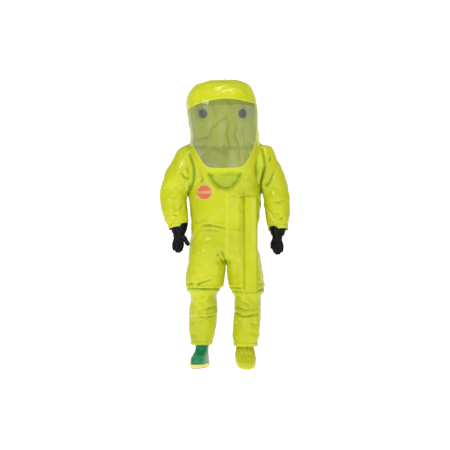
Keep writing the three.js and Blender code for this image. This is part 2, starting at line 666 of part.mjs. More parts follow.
// ---------------------------------------------------------------- belt and hanging loop
function makeBelt() {
  const [low, high] = BELT_Z;
  const band = solid(box([-BIG, -BIG, low], [BIG, BIG, high]));
  const gapForBuckle = solid(box([-34, -200, 0], [26, -60, BIG]));
  const plug = solid(box([-33, -138, low + 3], [-5, -130, high - 3]));
  const socket = solid(box([-4, -139, low], [25, -129, high]));
  const belt = trunkLayer(-WALL - 2, -WALL - 4).intersect(band).subtract(gapForBuckle);
  return {
    waist_belt: [belt, GREY_WEBBING],
    belt_buckle_plug: [plug, BLACK_PLASTIC],
    belt_buckle_socket: [socket, BLACK_PLASTIC],
  };
}

function makeHangingLoop() {
  const outer = new THREE.Shape([
    new THREE.Vector2(0, 0),
    new THREE.Vector2(13, 12),
    new THREE.Vector2(13, 46),
    new THREE.Vector2(0, 58),
  ]);
  const inner = new THREE.Path([
    new THREE.Vector2(-1, 8),
    new THREE.Vector2(10, 14),
    new THREE.Vector2(10, 44),
    new THREE.Vector2(-1, 50),
  ]);
  const strap = new THREE.Shape([...outer.getPoints(), ...inner.getPoints().reverse()]);
  const options = { depth: LOOP_WIDTH, bevelEnabled: false };
  const geometry = new THREE.ExtrudeGeometry(strap, options).translate(0, 0, -LOOP_WIDTH / 2);
  geometry.rotateX(Math.PI / 2);
  geometry.rotateZ(Math.PI / 2);
  const loop = solid(geometry.translate(...LOOP_AT));
  return { hanging_loop: [loop.subtract(trunkCore(GAP)), GREY_WEBBING] };
}

// ---------------------------------------------------------------- assembly
const pieces = {
  ...makeTrunk(),
  ...makeShield(),
  ...makeLabel(),
  ...makeZip(),
  ...makeFlap(),
  ...makeBelt(),
  ...makeHangingLoop(),
  ...makeSock(),
  ...makeBoot(),
  ...makeGatheredSock(),
};
for (const side of SIDE_NAMES) {
  Object.assign(pieces, makeSleeves(side), makeLegs(side), makeGlove(side), makeValve(side));
}

const suit = new THREE.Group();
for (const [name, [made, material]] of Object.entries(pieces)) {
  const mesh = new THREE.Mesh(surface(made), material);
  mesh.name = name;
  suit.add(mesh);
}

export default suit;
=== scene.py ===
"""The looks of a gas-tight chemical protective suit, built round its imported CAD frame.

Metres, +Z up. The wearer faces -Y, so the wearer's right is -X.
"""
import json
import math

import bmesh
import bpy
import numpy as np
from mathutils import Matrix, Vector, noise
from mathutils.bvhtree import BVHTree


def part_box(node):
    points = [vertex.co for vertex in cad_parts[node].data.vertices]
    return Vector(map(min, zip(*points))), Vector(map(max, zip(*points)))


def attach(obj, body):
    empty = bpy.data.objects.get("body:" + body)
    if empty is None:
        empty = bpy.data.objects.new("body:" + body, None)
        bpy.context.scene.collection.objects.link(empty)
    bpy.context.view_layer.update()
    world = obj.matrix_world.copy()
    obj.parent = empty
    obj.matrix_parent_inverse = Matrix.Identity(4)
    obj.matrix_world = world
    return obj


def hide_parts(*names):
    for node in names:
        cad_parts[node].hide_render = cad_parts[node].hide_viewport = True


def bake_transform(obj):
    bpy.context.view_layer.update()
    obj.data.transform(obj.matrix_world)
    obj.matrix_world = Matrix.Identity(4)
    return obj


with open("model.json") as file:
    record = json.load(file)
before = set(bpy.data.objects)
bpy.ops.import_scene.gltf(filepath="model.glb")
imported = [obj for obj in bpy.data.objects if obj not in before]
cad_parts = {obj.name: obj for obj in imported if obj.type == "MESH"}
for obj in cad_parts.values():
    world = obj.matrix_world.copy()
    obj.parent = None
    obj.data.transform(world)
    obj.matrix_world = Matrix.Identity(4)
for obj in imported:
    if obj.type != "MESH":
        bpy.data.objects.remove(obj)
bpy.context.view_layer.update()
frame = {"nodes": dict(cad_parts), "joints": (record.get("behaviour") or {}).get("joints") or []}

SIDES = ("right", "left")
OUT = {"right": -1, "left": 1}  # which way along X a side lies
UP = Vector((0, 0, 1))
JOINTS = {joint["name"]: joint for joint in frame["joints"]}

# ---------------------------------------------------------------- driving dimensions
VOXEL = 0.011  # of the coverall's mesh
SHOULDER = (0.098, 0.112, 0.092)  # half sizes of the yoke over a shoulder
EXTRA = 0.04  # the coverall's limbs run on past their hems by this much, until they are cut
SLACK = 1.04  # the cloth's own size against the shape that it fills
MOST_MOVE = 0.034  # how far the cloth may move from that shape
SWING = math.radians(7)  # the arms are draped held out by this much, and brought back in
ARM_X = 0.2535  # the armholes, and with the arms out the room between arm and trunk
ARM_Z = (0.82, 1.50)
LEG_SEAM_Z = 0.716
KNEE_SEAM_Z = 0.530
ELBOW_SEAM = 0.055  # above the elbow's pivot
SHIN_SEAM_Z = {"right": 0.330, "left": 0.290}
TAPE_HALF = 0.011  # half the width of a welded seam tape
TAPE_THICK = 0.0007
HEM_WIDTH = 0.020
HEM_THICK = 0.0025
CROTCH_X = 0.009
THIGH_FULLNESS = 0.014  # how much wider the thighs' cloth hangs between the legs
HOOD_CREASES = 0.009  # how deep the creases are that cross the back of the hood
FOLD_SHADE_ROUNDS = 16  # how widely a fold is compared with its surroundings, for the painted shade in the folds
FOLD_SHADE_DEPTHS = (0.0004, 0.0045)  # the depth where painted shade begins in a fold, and where it is full
ARMPIT_Z = (1.14, 1.38)  # where the cloth beside the armpits is smoothed, low and high
ARMPIT_ROUNDS = 16
FOLD_DEPTH = 0.0042  # of the small creases all over the film
ZIP_AT = 0.168  # across the wearer's left front
TOOTH_PITCH = 0.0032
FLAP_OVER = 0.009  # how far the flap's soft edge reaches past its grip strip
SHIELD_BAND = 1.712  # where the doubled film along the face shield's top begins
# the darker green painted as shade deep in the folds and over the bib
FOLD_SHADE_GREEN = (0.135, 0.330, 0.016)
SHIELD_TAPE = 0.0068  # half the width of the tape round the face shield
VALVE_TURN = math.radians(31)  # of a valve's axis from +Y towards its own side
HOOD_SEAM_Z = 1.462
SIDE_SEAM_Y = 0.020
FRONT_SEAM_X = 0.012
SHIELD_EDGE = (  # seen from the front: x, z, from the wearer's right brow round below to the left one
    (-0.247, 1.708), (-0.240, 1.634), (-0.230, 1.540), (-0.214, 1.470), (-0.190, 1.410), (-0.157, 1.352),
    (-0.127, 1.313), (-0.064, 1.301), (0.029, 1.303), (0.112, 1.309), (0.145, 1.344), (0.174, 1.401),
    (0.200, 1.469), (0.207, 1.540), (0.209, 1.630), (0.208, 1.736),
)
SHIELD_BROW = (
    (0.208, 1.736), (0.122, 1.750), (0.029, 1.764), (-0.064, 1.757), (-0.157, 1.736), (-0.247, 1.708),
)
BIB_DEPTH = 0.026
ZIP_FRONT = -0.1345  # the cloth stays behind the zip
BIB_EDGE = ((-0.176, 1.440), (-0.108, 1.222), (0.006, 1.150), (0.108, 1.222), (0.168, 1.430))
CUFFS = {"right": (-0.313, -0.028, 0.926), "left": (0.349, -0.028, 0.914)}  # the middles of the sleeves' ends
CUFF_OVER = 0.007  # how far the cloth reaches past the end of the sleeve
CUFF_FLARE = 0.007  # how much the sleeves' cloth widens towards its hems
CUFF_SHIFT = {"right": 0.010, "left": -0.001}  # and how far it hangs across
LABEL_DROP = 0.012  # how far the label sits below its place on the chest
WALL = 0.0012  # of the cloth on its small pieces
CAMERA_AT = (0.0, -9.0, 0.937)
VIEW_WIDTH = 2.985  # what the camera sees at the origin's distance


def pivot(joint):
    """Where a joint turns, with the suit at rest."""
    return Vector(JOINTS[joint]["pos_m"])


def arm_line(side):
    """The pivots of an arm's shoulder and elbow."""
    return pivot(f"shoulder_raise_{side}"), pivot(f"elbow_bend_{side}")


# ---------------------------------------------------------------- camera, floor and light
def make_camera():
    camera = bpy.data.objects.new("camera", bpy.data.cameras.new("camera"))
    camera.location = CAMERA_AT
    camera.rotation_euler = (math.pi / 2, 0, 0)
    camera.data.sensor_width = 36
    camera.data.lens = 36 * -CAMERA_AT[1] / VIEW_WIDTH
    bpy.context.scene.collection.objects.link(camera)
    bpy.context.scene.camera = camera


def make_floor():
    """A pale floor that curves up into a backdrop far behind."""
    wide, far, bend, tall = 14.0, 10.0, 2.0, 9.0
    turns = np.linspace(0.1, math.pi / 2, 12)
    curve = [(-wide, 0.0), (far, 0.0)]
    curve += [(far + bend * math.sin(turn), bend - bend * math.cos(turn)) for turn in turns]
    curve.append((far + bend, tall))
    floor = add_object("floor", strip("floor", [[(-wide, y, z), (wide, y, z)] for y, z in curve]))
    floor.data.materials.append(paper())


def make_lights():
    """A pale sky all round, a large soft key from the upper left of the camera, and weak fills."""
    world = bpy.data.worlds.new("studio")
    bpy.context.scene.world = world
    world.use_nodes = True
    background = world.node_tree.nodes["Background"]
    background.inputs["Color"].default_value = (1, 1, 1, 1)
    background.inputs["Strength"].default_value = 0.26
    for name, spot, size, power in (
        ("key", (-2.4, -4.6, 3.4), 1.8, 98),
        ("fill", (2.6, -5.0, 1.8), 2.4, 46),
        ("top", (0.2, -1.0, 4.4), 1.2, 42),
    ):
        light = bpy.data.objects.new(name, bpy.data.lights.new(name, "AREA"))
        light.data.size = size
        light.data.energy = power
        light.location = spot
        light.rotation_euler = (Vector((0, 0, 1.0)) - Vector(spot)).to_track_quat("-Z", "Y").to_euler()
        bpy.context.scene.collection.objects.link(light)
    bpy.context.scene.view_settings.view_transform = "Standard"


# ---------------------------------------------------------------- mesh helpers
def add_object(name, mesh):
    made = bpy.data.objects.new(name, mesh)
    bpy.context.scene.collection.objects.link(made)
    return made


def shade_smooth(mesh):
    mesh.polygons.foreach_set("use_smooth", [True] * len(mesh.polygons))
    return mesh


def mesh_of(name, verts, faces):
    mesh = bpy.data.meshes.new(name)
    mesh.from_pydata([tuple(v) for v in verts], [], faces)
    mesh.validate()
    return shade_smooth(mesh)


def apply_modifiers(made):
    """The object's mesh becomes what its modifiers make of it."""
    graph = bpy.context.evaluated_depsgraph_get()
    mesh = bpy.data.meshes.new_from_object(made.evaluated_get(graph))
    made.modifiers.clear()
    made.data = mesh
    return made


def coordinates(mesh):
    co = np.empty(len(mesh.vertices) * 3)
    mesh.vertices.foreach_get("co", co)
    return co.reshape(-1, 3)


def set_coordinates(mesh, co):
    mesh.vertices.foreach_set("co", np.asarray(co).ravel())
    mesh.update()


def vertex_normals(mesh):
    found = np.empty(len(mesh.vertices) * 3, np.float32)
    mesh.vertex_normals.foreach_get("vector", found)
    return found.reshape(-1, 3).astype(float)


def emboss(mesh, relief):
    """Moves each vertex out along its normal by its relief."""
    set_coordinates(mesh, coordinates(mesh) + vertex_normals(mesh) * relief[:, None])


def remeshed(made, voxel, rounds):
    """The skins of an object joined into one even mesh, and smoothed."""
    remesh = made.modifiers.new("remesh", "REMESH")
    remesh.mode = "VOXEL"
    remesh.voxel_size = voxel
    smooth = made.modifiers.new("smooth", "SMOOTH")
    smooth.factor = 0.5
    smooth.iterations = rounds
    return apply_modifiers(made)


def walled(made, thick, offset=-1):
    """Gives a skin a wall: inwards by itself, outwards with an offset of 1."""
    wall = made.modifiers.new("wall", "SOLIDIFY")
    wall.thickness = thick
    wall.offset = offset
    return made


def smoothstep(value, low, high):
    t = np.clip((value - low) / (high - low), 0, 1)
    return t * t * (3 - 2 * t)


def hump(value, low, full, ebb, high):
    """Rises from 0 to 1 between low and full, and falls back between ebb and high."""
    return smoothstep(value, low, full) * (1 - smoothstep(value, ebb, high))


def angles(count, first=0.0):
    """Even steps round a circle."""
    return (np.arange(count) + first) / count * 2 * math.pi


def softened(points, axis=0):
    """A closed line with each point drawn towards its neighbours."""
    return (np.roll(points, 1, axis) + 2 * points + np.roll(points, -1, axis)) / 4


def noise_at(co, scale):
    """Smooth noise between -1 and 1, finer for a larger scale."""
    return np.array([noise.noise(Vector(spot)) for spot in co * scale])


def distance(co, spot):
    return np.linalg.norm(co - np.array(spot), axis=1)


def beyond(co, plane):
    """How far points lie past a plane, which is a point and the way that it faces."""
    at, way = plane
    return (co - np.array(at)) @ np.array(way)


def ring_faces(rings, sides, closed=True):
    """Quads between rings of equally many vertices, numbered one ring after another."""
    faces = []
    for r in range(rings - 1):
        for i in range(sides if closed else sides - 1):
            j = (i + 1) % sides
            faces.append((r * sides + i, r * sides + j, (r + 1) * sides + j, (r + 1) * sides + i))
    return faces


def loft(name, rings, start=True, end=True):
    """A skin over rings of points, closed at its start and its end."""
    sides = len(rings[0])
    verts = [p for ring in rings for p in ring]
    faces = ring_faces(len(rings), sides)
    if start:
        faces.append(tuple(reversed(range(sides))))
    if end:
        faces.append(tuple(range(len(verts) - sides, len(verts))))
    return mesh_of(name, verts, faces)


def strip(name, rows):
    """A sheet through rows of points."""
    return mesh_of(name, [p for row in rows for p in row], ring_faces(len(rows), len(rows[0]), closed=False))


# ---------------------------------------------------------------- outlines of the CAD frame
def triangles(*names):
    """The corners of these CAD nodes' triangles."""
    found = []
    for name in names:
        mesh = frame["nodes"][name].data
        mesh.calc_loop_triangles()
        found.append(coordinates(mesh)[[tuple(t.vertices) for t in mesh.loop_triangles]])
    return np.concatenate(found)


def hull(points):
    """The corners of flat points' convex hull, anticlockwise."""
    ordered = sorted(map(tuple, points))

    def half(sequence):
        kept = []
        for p in sequence:
            while len(kept) > 1 and np.cross(np.subtract(kept[-1], kept[-2]), np.subtract(p, kept[-2])) <= 0:
                kept.pop()
            kept.append(p)
        return kept[:-1]

    return np.array(half(ordered) + half(reversed(ordered)))


def outline(corners, origin, normal, count):
    """Where a plane cuts the triangles: count points round the hull of the cut, as rows."""
    origin, normal = np.array(origin), np.array(Vector(normal).normalized())
    height = (corners - origin) @ normal
    cuts = []
    for a, b in ((0, 1), (1, 2), (2, 0)):
        crossing = height[:, a] * height[:, b] < 0
        first, second = corners[crossing, a], corners[crossing, b]
        share = height[crossing, a] / (height[crossing, a] - height[crossing, b])
        cuts.append(first + share[:, None] * (second - first))
    across = np.array([1.0, 0, 0]) - normal * normal[0]
    across /= np.linalg.norm(across)
    basis = np.stack([across, np.cross(normal, across)])
    corner = hull((np.concatenate(cuts) - origin) @ basis.T)
    middle = (corner.min(0) + corner.max(0)) / 2
    edge = np.roll(corner, -1, 0) - corner
    out = np.stack([edge[:, 1], -edge[:, 0]], 1)
    reach = np.einsum("ij,ij->i", out, corner - middle)
    turns = angles(count)
    ways = np.stack([np.cos(turns), np.sin(turns)], 1)
    facing = ways @ out.T
    radius = np.where(facing > 1e-9, reach / np.maximum(facing, 1e-9), 1e9).min(1)
    return origin + (middle + ways * radius[:, None]) @ basis


TRUNK = ("hood_shell", "face_shield", "chest_bib", "torso_front_right", "torso_front_left", "torso_back")


def trunk_rings(count):
    """Level hoops of the trunk and hood, with the CAD's facets smoothed away."""
    corners = triangles(*TRUNK)
    levels = np.concatenate([np.linspace(0.719, 1.70, 46), np.linspace(1.71, 1.897, 22)])
    rings = np.array([outline(corners, (0, 0, z), UP, count) for z in levels])
    for _ in range(3):
        rings = softened(rings, axis=1)
        inner = (rings[:-2] + 2 * rings[1:-1] + rings[2:]) / 4
        rings[1:-1, :, :2] = inner[:, :, :2]
    return list(rings)


def arm_rings(side, count):
    """Hoops from the shoulder's pivot down past the cuff."""
    corners = triangles(f"sleeve_upper_{side}", f"sleeve_lower_{side}")
    shoulder, elbow = arm_line(side)
    cuff = Vector(CUFFS[side])
    upper, lower = (elbow - shoulder).normalized(), (cuff - elbow).normalized()
    rings = []
    for share in np.linspace(0.02, 0.9, 10):
        way = upper.lerp(lower, max(0, share - 0.5))
        rings.append(outline(corners, shoulder.lerp(elbow, share), way, count))
    for share in np.linspace(0.05, 0.985, 12):
        way = upper.lerp(lower, min(1, 0.4 + share * 2))
        rings.append(outline(corners, elbow.lerp(cuff, share), way, count))
    rings.append(rings[-1] + np.array(lower * EXTRA))
    first, middle = rings[0], np.array(shoulder)
    radius = np.linalg.norm(first - middle, axis=1).mean()
    for turn in (0.45, 0.9, 1.25):
        shrunk = middle + (first - middle) * math.cos(turn)
        rings.insert(0, shrunk - np.array(upper) * radius * math.sin(turn))
    return [swing(ring, side, arm_share(ring, side)) for ring in rings]


def arm_share(co, side):
    """How much of the arm's swing points take: none at the shoulder, all from below the armpit."""
    shoulder, elbow = arm_line(side)
    along = (co - np.array(shoulder)) @ np.array((elbow - shoulder).normalized())
    return smoothstep(along, -0.01, 0.12)


def swing(co, side, share, angle=SWING):
    """Points turned out about the shoulder by their share of an angle."""
    joint = JOINTS[f"shoulder_raise_{side}"]
    centre, axis = np.array(joint["pos_m"]), np.array(Vector(joint["axis"]).normalized())
    arm = np.atleast_2d(co) - centre
    turn = (np.atleast_1d(share) * angle)[:, None]
    along = (arm @ axis)[:, None] * axis
    return centre + arm * np.cos(turn) + np.cross(axis, arm) * np.sin(turn) + along * (1 - np.cos(turn))


def shoulder_rings(side, count):
    """A rounded yoke that slopes the garment from the hood out over the top of the sleeve."""
    middle = np.array(pivot(f"shoulder_raise_{side}")) + (0, 0, 0.052)
    turns = angles(count)
    rings = []
    for lift in np.linspace(-1.35, 1.35, 9):
        flat = np.stack([np.cos(turns) * SHOULDER[0], np.sin(turns) * SHOULDER[1], 0 * turns], 1)
        rings.append(middle + flat * math.cos(lift) + np.array([0, 0, SHOULDER[2] * math.sin(lift)]))
    return rings


def leg_rings(side, count):
    """Level hoops from inside the trunk down past the splash flap's hem."""
    corners = triangles(f"leg_upper_{side}", f"leg_lower_{side}", f"splash_flap_{side}")
    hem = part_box(f"splash_flap_{side}")[0].z
    rings = [outline(corners, (0, 0, z), UP, count) for z in np.linspace(0.712, hem + 0.002, 30)]
    up = rings[0] + np.array([0, 0, 0.05])
    down = rings[-1] - np.array([0, 0, EXTRA])
    return [up, *rings, down]


# ---------------------------------------------------------------- the coverall, draped as cloth
def spline(points, count):
    """A smooth open line through points, as rows."""
    p = np.array(points, float)
    p = np.concatenate([[2 * p[0] - p[1]], p, [2 * p[-1] - p[-2]]])
    place = np.linspace(0, len(points) - 1 - 1e-9, count)
    k, t = place.astype(int), (place % 1)[:, None]
    a, b, c, d = p[k], p[k + 1], p[k + 2], p[k + 3]
    return 0.5 * (2 * b + (c - a) * t + (2 * a - 5 * b + 4 * c - d) * t**2 + (3 * b - a - 3 * c + d) * t**3)


def away(co, line):
    """How far points lie from a line of many short steps, in its own dimensions."""
    found = np.full(len(co), 9.0)
    for a, b in zip(line[:-1], line[1:]):
        step = b - a
        share = np.clip(((co - a) @ step) / max(step @ step, 1e-12), 0, 1)
        found = np.minimum(found, np.linalg.norm(co - (a + share[:, None] * step), axis=1))
    return found


def within(co, loop):
    """Whether flat points lie inside a closed outline."""
    inside = np.zeros(len(co), bool)
    for (x0, z0), (x1, z1) in zip(loop, np.roll(loop, -1, 0)):
        crosses = (z0 > co[:, 1]) != (z1 > co[:, 1])
        at = (x1 - x0) * (co[:, 1] - z0) / (z1 - z0 if z1 != z0 else 1e-12) + x0
        inside ^= crosses & (co[:, 0] < at)
    return inside


SHIELD_LINE = spline(SHIELD_EDGE, 90)
SHIELD_LOOP = np.concatenate([SHIELD_LINE, spline(SHIELD_BROW, 60)[1:-1]])
BIB_LINE = spline(BIB_EDGE, 60)
BIB_LOOP = np.concatenate([BIB_LINE, [[0.0, 1.50]]])


def shield_reach(co):
    """How far points lie outside the face shield's outline, negative inside; far away behind."""
    flat = co[:, [0, 2]]
    outside = away(flat, np.concatenate([SHIELD_LOOP, SHIELD_LOOP[:1]]))
    outside = np.where(within(flat, SHIELD_LOOP), -outside, outside)
    return np.where(co[:, 1] < 0.0, outside, 1.0)


def filled_shape():
    """The whole suit down to its hems as one closed mesh."""
    lofts = [loft("trunk", trunk_rings(72))]
    for side in SIDES:
        lofts.append(loft("arm", list(reversed(arm_rings(side, 40)))))
        lofts.append(loft("leg", list(reversed(leg_rings(side, 44)))))
        lofts.append(loft("shoulder", shoulder_rings(side, 40)))
    joined = bmesh.new()
    for mesh in lofts:
        joined.from_mesh(mesh)
    bmesh.ops.recalc_face_normals(joined, faces=joined.faces)
    mesh = bpy.data.meshes.new("coverall")
    joined.to_mesh(mesh)
    joined.free()
    return remeshed(add_object("coverall", mesh), VOXEL, 10)


def neighbour_mean(mesh):
    """A function that averages one value of each vertex over the vertices it shares an edge with."""
    edges = np.empty(len(mesh.edges) * 2, int)
    mesh.edges.foreach_get("vertices", edges)
    a, b = edges.reshape(-1, 2).T
    total = len(mesh.vertices)
    count = np.maximum(np.bincount(a, minlength=total) + np.bincount(b, minlength=total), 1)
    return lambda values: (np.bincount(a, values[b], total) + np.bincount(b, values[a], total)) / count


def arm_weights(mesh, side):
    """Each vertex's share of an arm's swing, spread only along the mesh, so that trunk and arm stay apart."""
    co = coordinates(mesh)
    share = arm_points(co, side) * arm_share(co, side)
    mean = neighbour_mean(mesh)
    for _ in range(14):
        share = (share + mean(share)) / 2
    return share


def eased(mesh, co):
    """Smooths the small steps in the cloth that bunches at the armpits."""
    mean = neighbour_mean(mesh)
    soft = np.zeros(len(co))
    for side in SIDES:
        at = pivot(f"shoulder_raise_{side}")
        line = np.array([(at.x * 0.92, ARMPIT_Z[1]), (at.x * 0.92, ARMPIT_Z[0])])
        soft = np.maximum(soft, 1 - smoothstep(away(co[:, (0, 2)], line), 0.045, 0.09))
    for _ in range(ARMPIT_ROUNDS):
        near = np.stack([mean(column) for column in co.T], 1)
        co = co + (near - co) * (soft * 0.6)[:, None]
    return co


# How the film behaves as cloth, under the pressure of the air inside and a little of its own weight.
FILM = {
    "quality": 5,
    "mass": 0.3,
    "tension_stiffness": 30,
    "compression_stiffness": 30,
    "shear_stiffness": 12,
    "bending_stiffness": 2.5,
    "tension_damping": 8,
    "compression_damping": 8,
    "shear_damping": 8,
    "use_pressure": True,
    "uniform_pressure_force": 6,
}
FILM_GRAVITY = 0.15
DRAPE_STEPS = 21


def drape(made):
    """Lets the coverall's cloth, cut larger than the shape, settle over air pressure into folds.

    Returns the settled coordinates; the mesh keeps the shape that it was cut for.
    """
    co = coordinates(made.data)
    group = made.vertex_groups.new(name="held")
    held = held_weights(co)
    for i in np.nonzero(held > 0.01)[0]:
        group.add([int(i)], float(held[i]), "REPLACE")
    made.shape_key_add(name="Basis")
    loose = made.shape_key_add(name="loose")
    loose.data.foreach_set("co", loosened(co).ravel())
    loose.value = 0
    cloth = made.modifiers.new("cloth", "CLOTH")
    settings = cloth.settings
    for name, value in FILM.items():
        setattr(settings, name, value)
    settings.vertex_group_mass = "held"
    settings.rest_shape_key = loose
    settings.effector_weights.gravity = FILM_GRAVITY
    scene = bpy.context.scene
    for step in range(DRAPE_STEPS):
        scene.frame_set(step + 1)
    settled = coordinates(made.evaluated_get(bpy.context.evaluated_depsgraph_get()).to_mesh())
    made.modifiers.clear()
    made.shape_key_clear()
    made.vertex_groups.clear()
    scene.frame_set(1)
    move = settled - co
    length = np.linalg.norm(move, axis=1, keepdims=True)
    return co + move * np.tanh(length / MOST_MOVE) * MOST_MOVE / np.maximum(length, 1e-9)


def cuff_plane(side):
    """Where a lower sleeve ends with the arm held out: a point and the way that the arm points."""
    elbow, cuff = pivot(f"elbow_bend_{side}"), Vector(CUFFS[side])
    ends = swing(np.array([elbow, cuff]), side, np.ones(2))
    way = Vector(ends[1] - ends[0]).normalized()
    return Vector(ends[1]) + way * CUFF_OVER, way


def elbow_plane(side):
    """The seam above the elbow, with the arm held out."""
    shoulder, elbow = arm_line(side)
    way = (elbow - shoulder).normalized()
    ends = swing(np.array([elbow - way * ELBOW_SEAM, elbow]), side, np.ones(2))
    return Vector(ends[0]), Vector(ends[1] - ends[0]).normalized()


def hem_z(side):
    """The height of a splash flap's hem."""
    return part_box(f"splash_flap_{side}")[0].z


def arm_points(co, side):
    """Which points belong to the arm that is held out."""
    return (co[:, 0] * OUT[side] > ARM_X) & (co[:, 2] > ARM_Z[0]) & (co[:, 2] < ARM_Z[1])


def held_weights(co):
    """1 where the cloth can't move: the face shield and its edge, and what lies past the hems."""
    held = 1 - smoothstep(shield_reach(co), 0.012, 0.045)
    for side in SIDES:
        past = beyond(co, cuff_plane(side))
        held = np.maximum(held, arm_points(co, side) * smoothstep(past, -0.024, -0.006))
        leg = (co[:, 0] > 0) == (side == "left")
        low = 1 - smoothstep(co[:, 2] - hem_z(side), 0.006, 0.03)
        held = np.maximum(held, leg * (co[:, 2] < 0.5) * low)
        held = np.maximum(held, 1 - smoothstep(distance(co, valve_frame(side)[0]), 0.045, 0.09))
    low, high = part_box("hanging_loop")
    loop = ((low.x + high.x) / 2, low.y, (low.z + high.z) / 2)
    return np.maximum(held, 1 - smoothstep(distance(co, loop), 0.03, 0.07))


# Where cloth is to spare lengthways: height, half the height it spreads over, and how much.
TRUNK_SLACK = ((0.92, 0.07, 0.034), (1.06, 0.10, 0.020), (1.21, 0.08, 0.016))
LEG_SLACK = {
    "right": ((0.555, 0.05, 0.05), (0.37, 0.05, 0.03), (0.19, 0.05, 0.012)),
    "left": ((0.53, 0.05, 0.05), (0.345, 0.05, 0.035), (0.18, 0.05, 0.02)),
}
ARM_SLACK = ((1.24, 0.05, 0.028), (1.12, 0.07, 0.034), (1.0, 0.06, 0.018))


def loosened(co):
    """The cloth's own shape: a little larger all over, and longer where it gathers."""
    loose = co.copy()
    arm = arm_points(co, "right") | arm_points(co, "left")

    def longer(zones, share):
        for height, spread, extra in zones:
            loose[:, 2] -= share * extra * (1 - smoothstep(co[:, 2], height - spread, height + spread))

    longer(ARM_SLACK, arm)
    longer(TRUNK_SLACK, ~arm)
    longer(LEG_SLACK["right"], (co[:, 0] < 0) & (co[:, 2] < 0.71))
    longer(LEG_SLACK["left"], (co[:, 0] >= 0) & (co[:, 2] < 0.71))
    return loose * SLACK


# ---------------------------------------------------------------- folds and creases
# Creases in the cloth's front, seen from the front: their line in x and z, their depth and half width.
FRONT_CREASES = (
    (((-0.262, 0.523), (-0.150, 0.517), (-0.012, 0.518)), 0.014, 0.007),
    (((0.026, 0.506), (0.120, 0.497), (0.200, 0.503), (0.272, 0.528)), 0.014, 0.007),
    (((-0.020, 0.760), (-0.008, 0.725), (0.002, 0.700)), 0.010, 0.008),
    (((-0.050, 0.745), (-0.030, 0.722), (-0.020, 0.690)), 0.007, 0.007),
    (((-0.205, 0.922), (-0.100, 0.934), (0.004, 0.916)), 0.007, 0.007),
    (((-0.190, 0.955), (-0.125, 0.940), (-0.085, 0.938)), 0.005, 0.007),
    (((-0.170, 0.900), (-0.090, 0.905), (-0.030, 0.898)), 0.004, 0.006),
    (((0.030, 0.905), (0.080, 0.915), (0.125, 0.912)), 0.004, 0.006),
    (((-0.235, 0.548), (-0.160, 0.558), (-0.090, 0.580)), 0.008, 0.008),
    (((-0.205, 0.530), (-0.165, 0.545)), 0.010, 0.008),
    (((0.035, 0.528), (0.095, 0.522), (0.160, 0.530), (0.215, 0.556)), 0.012, 0.008),
    (((-0.190, 0.338), (-0.120, 0.330), (-0.050, 0.342)), 0.007, 0.007),
    (((-0.170, 0.375), (-0.115, 0.385), (-0.060, 0.402)), 0.006, 0.008),
    (((-0.165, 0.430), (-0.120, 0.437), (-0.085, 0.452)), 0.004, 0.008),
    (((0.050, 0.372), (0.110, 0.340), (0.160, 0.342), (0.215, 0.356)), 0.010, 0.008),
    (((0.075, 0.400), (0.130, 0.382), (0.185, 0.396)), 0.005, 0.008),
    (((0.085, 0.462), (0.120, 0.430), (0.180, 0.405)), 0.005, 0.010),
    (((-0.232, 1.400), (-0.208, 1.300), (-0.212, 1.225), (-0.240, 1.150)), 0.016, 0.009),
    (((-0.300, 1.290), (-0.262, 1.250), (-0.225, 1.232)), 0.008, 0.009),
    (((-0.180, 1.300), (-0.150, 1.240), (-0.165, 1.215)), 0.006, 0.010),
    (((0.246, 1.430), (0.262, 1.340), (0.238, 1.210), (0.250, 1.090)), 0.016, 0.009),
    (((0.300, 1.380), (0.262, 1.290), (0.240, 1.230)), 0.011, 0.010),
    (((0.330, 1.300), (0.290, 1.215), (0.262, 1.190)), 0.008, 0.009),
    (((0.215, 1.400), (0.205, 1.300), (0.222, 1.200)), 0.008, 0.010),
    (((0.040, 1.128), (0.120, 1.120), (0.205, 1.132)), 0.004, 0.006),
    (((-0.390, 1.130), (-0.340, 1.115), (-0.290, 1.135)), 0.005, 0.010),
    (((0.300, 1.100), (0.350, 1.085), (0.400, 1.105)), 0.005, 0.010),
    (((-0.385, 1.010), (-0.335, 1.000), (-0.290, 1.015)), 0.004, 0.008),
    (((0.300, 0.990), (0.350, 0.978), (0.400, 0.992)), 0.004, 0.008),
)


def fold_noise(co):
    """Small creases in the film, from ridged noise, between -1 and 1."""
    found = np.empty(len(co))
    for i, (x, y, z) in enumerate(co):
        spot = Vector((x * 7, y * 7, z * 7))
        warp = noise.noise(spot * 0.6) * 1.6
        coarse, fine = noise.noise(spot + Vector((warp, 0, warp))), noise.noise(spot * 2.3)
        found[i] = 1 - 2.6 * abs(coarse) - 0.8 * abs(fine)
    return np.clip(found, -1, 1)


def crease(co, normals, front, line, depth, half_width):
    """Presses one crease into the cloth, with a lip on its upper side."""
    path = spline([np.array(p) for p in line], 24)
    flat = co[:, [0, 2]]
    near = (np.abs(flat - path.mean(0)) < np.ptp(path, 0) / 2 + 0.06).all(1) & front
    spots = flat[near]
    gaps = np.linalg.norm(spots[:, None] - path[None], axis=2)
    nearest = gaps.argmin(1)
    gap = gaps[np.arange(len(spots)), nearest]
    along = np.gradient(path, axis=0) * (1 if path[-1, 0] >= path[0, 0] else -1)
    upper = np.stack([-along[:, 1], along[:, 0]], 1)
    above = np.sign(((spots - path[nearest]) * upper[nearest]).sum(1))
    fade = np.sin(np.pi * (nearest + 1.5) / (len(path) + 2)) ** 0.6
    groove = np.exp(-((gap / half_width) ** 2))
    lip = np.exp(-(((gap - 2.2 * half_width) / (1.4 * half_width)) ** 2)) * (0.65 + 0.35 * above)
    moved = co.copy()
    moved[near] += normals[near] * (depth * fade * (0.75 * lip - groove))[:, None]
    return moved


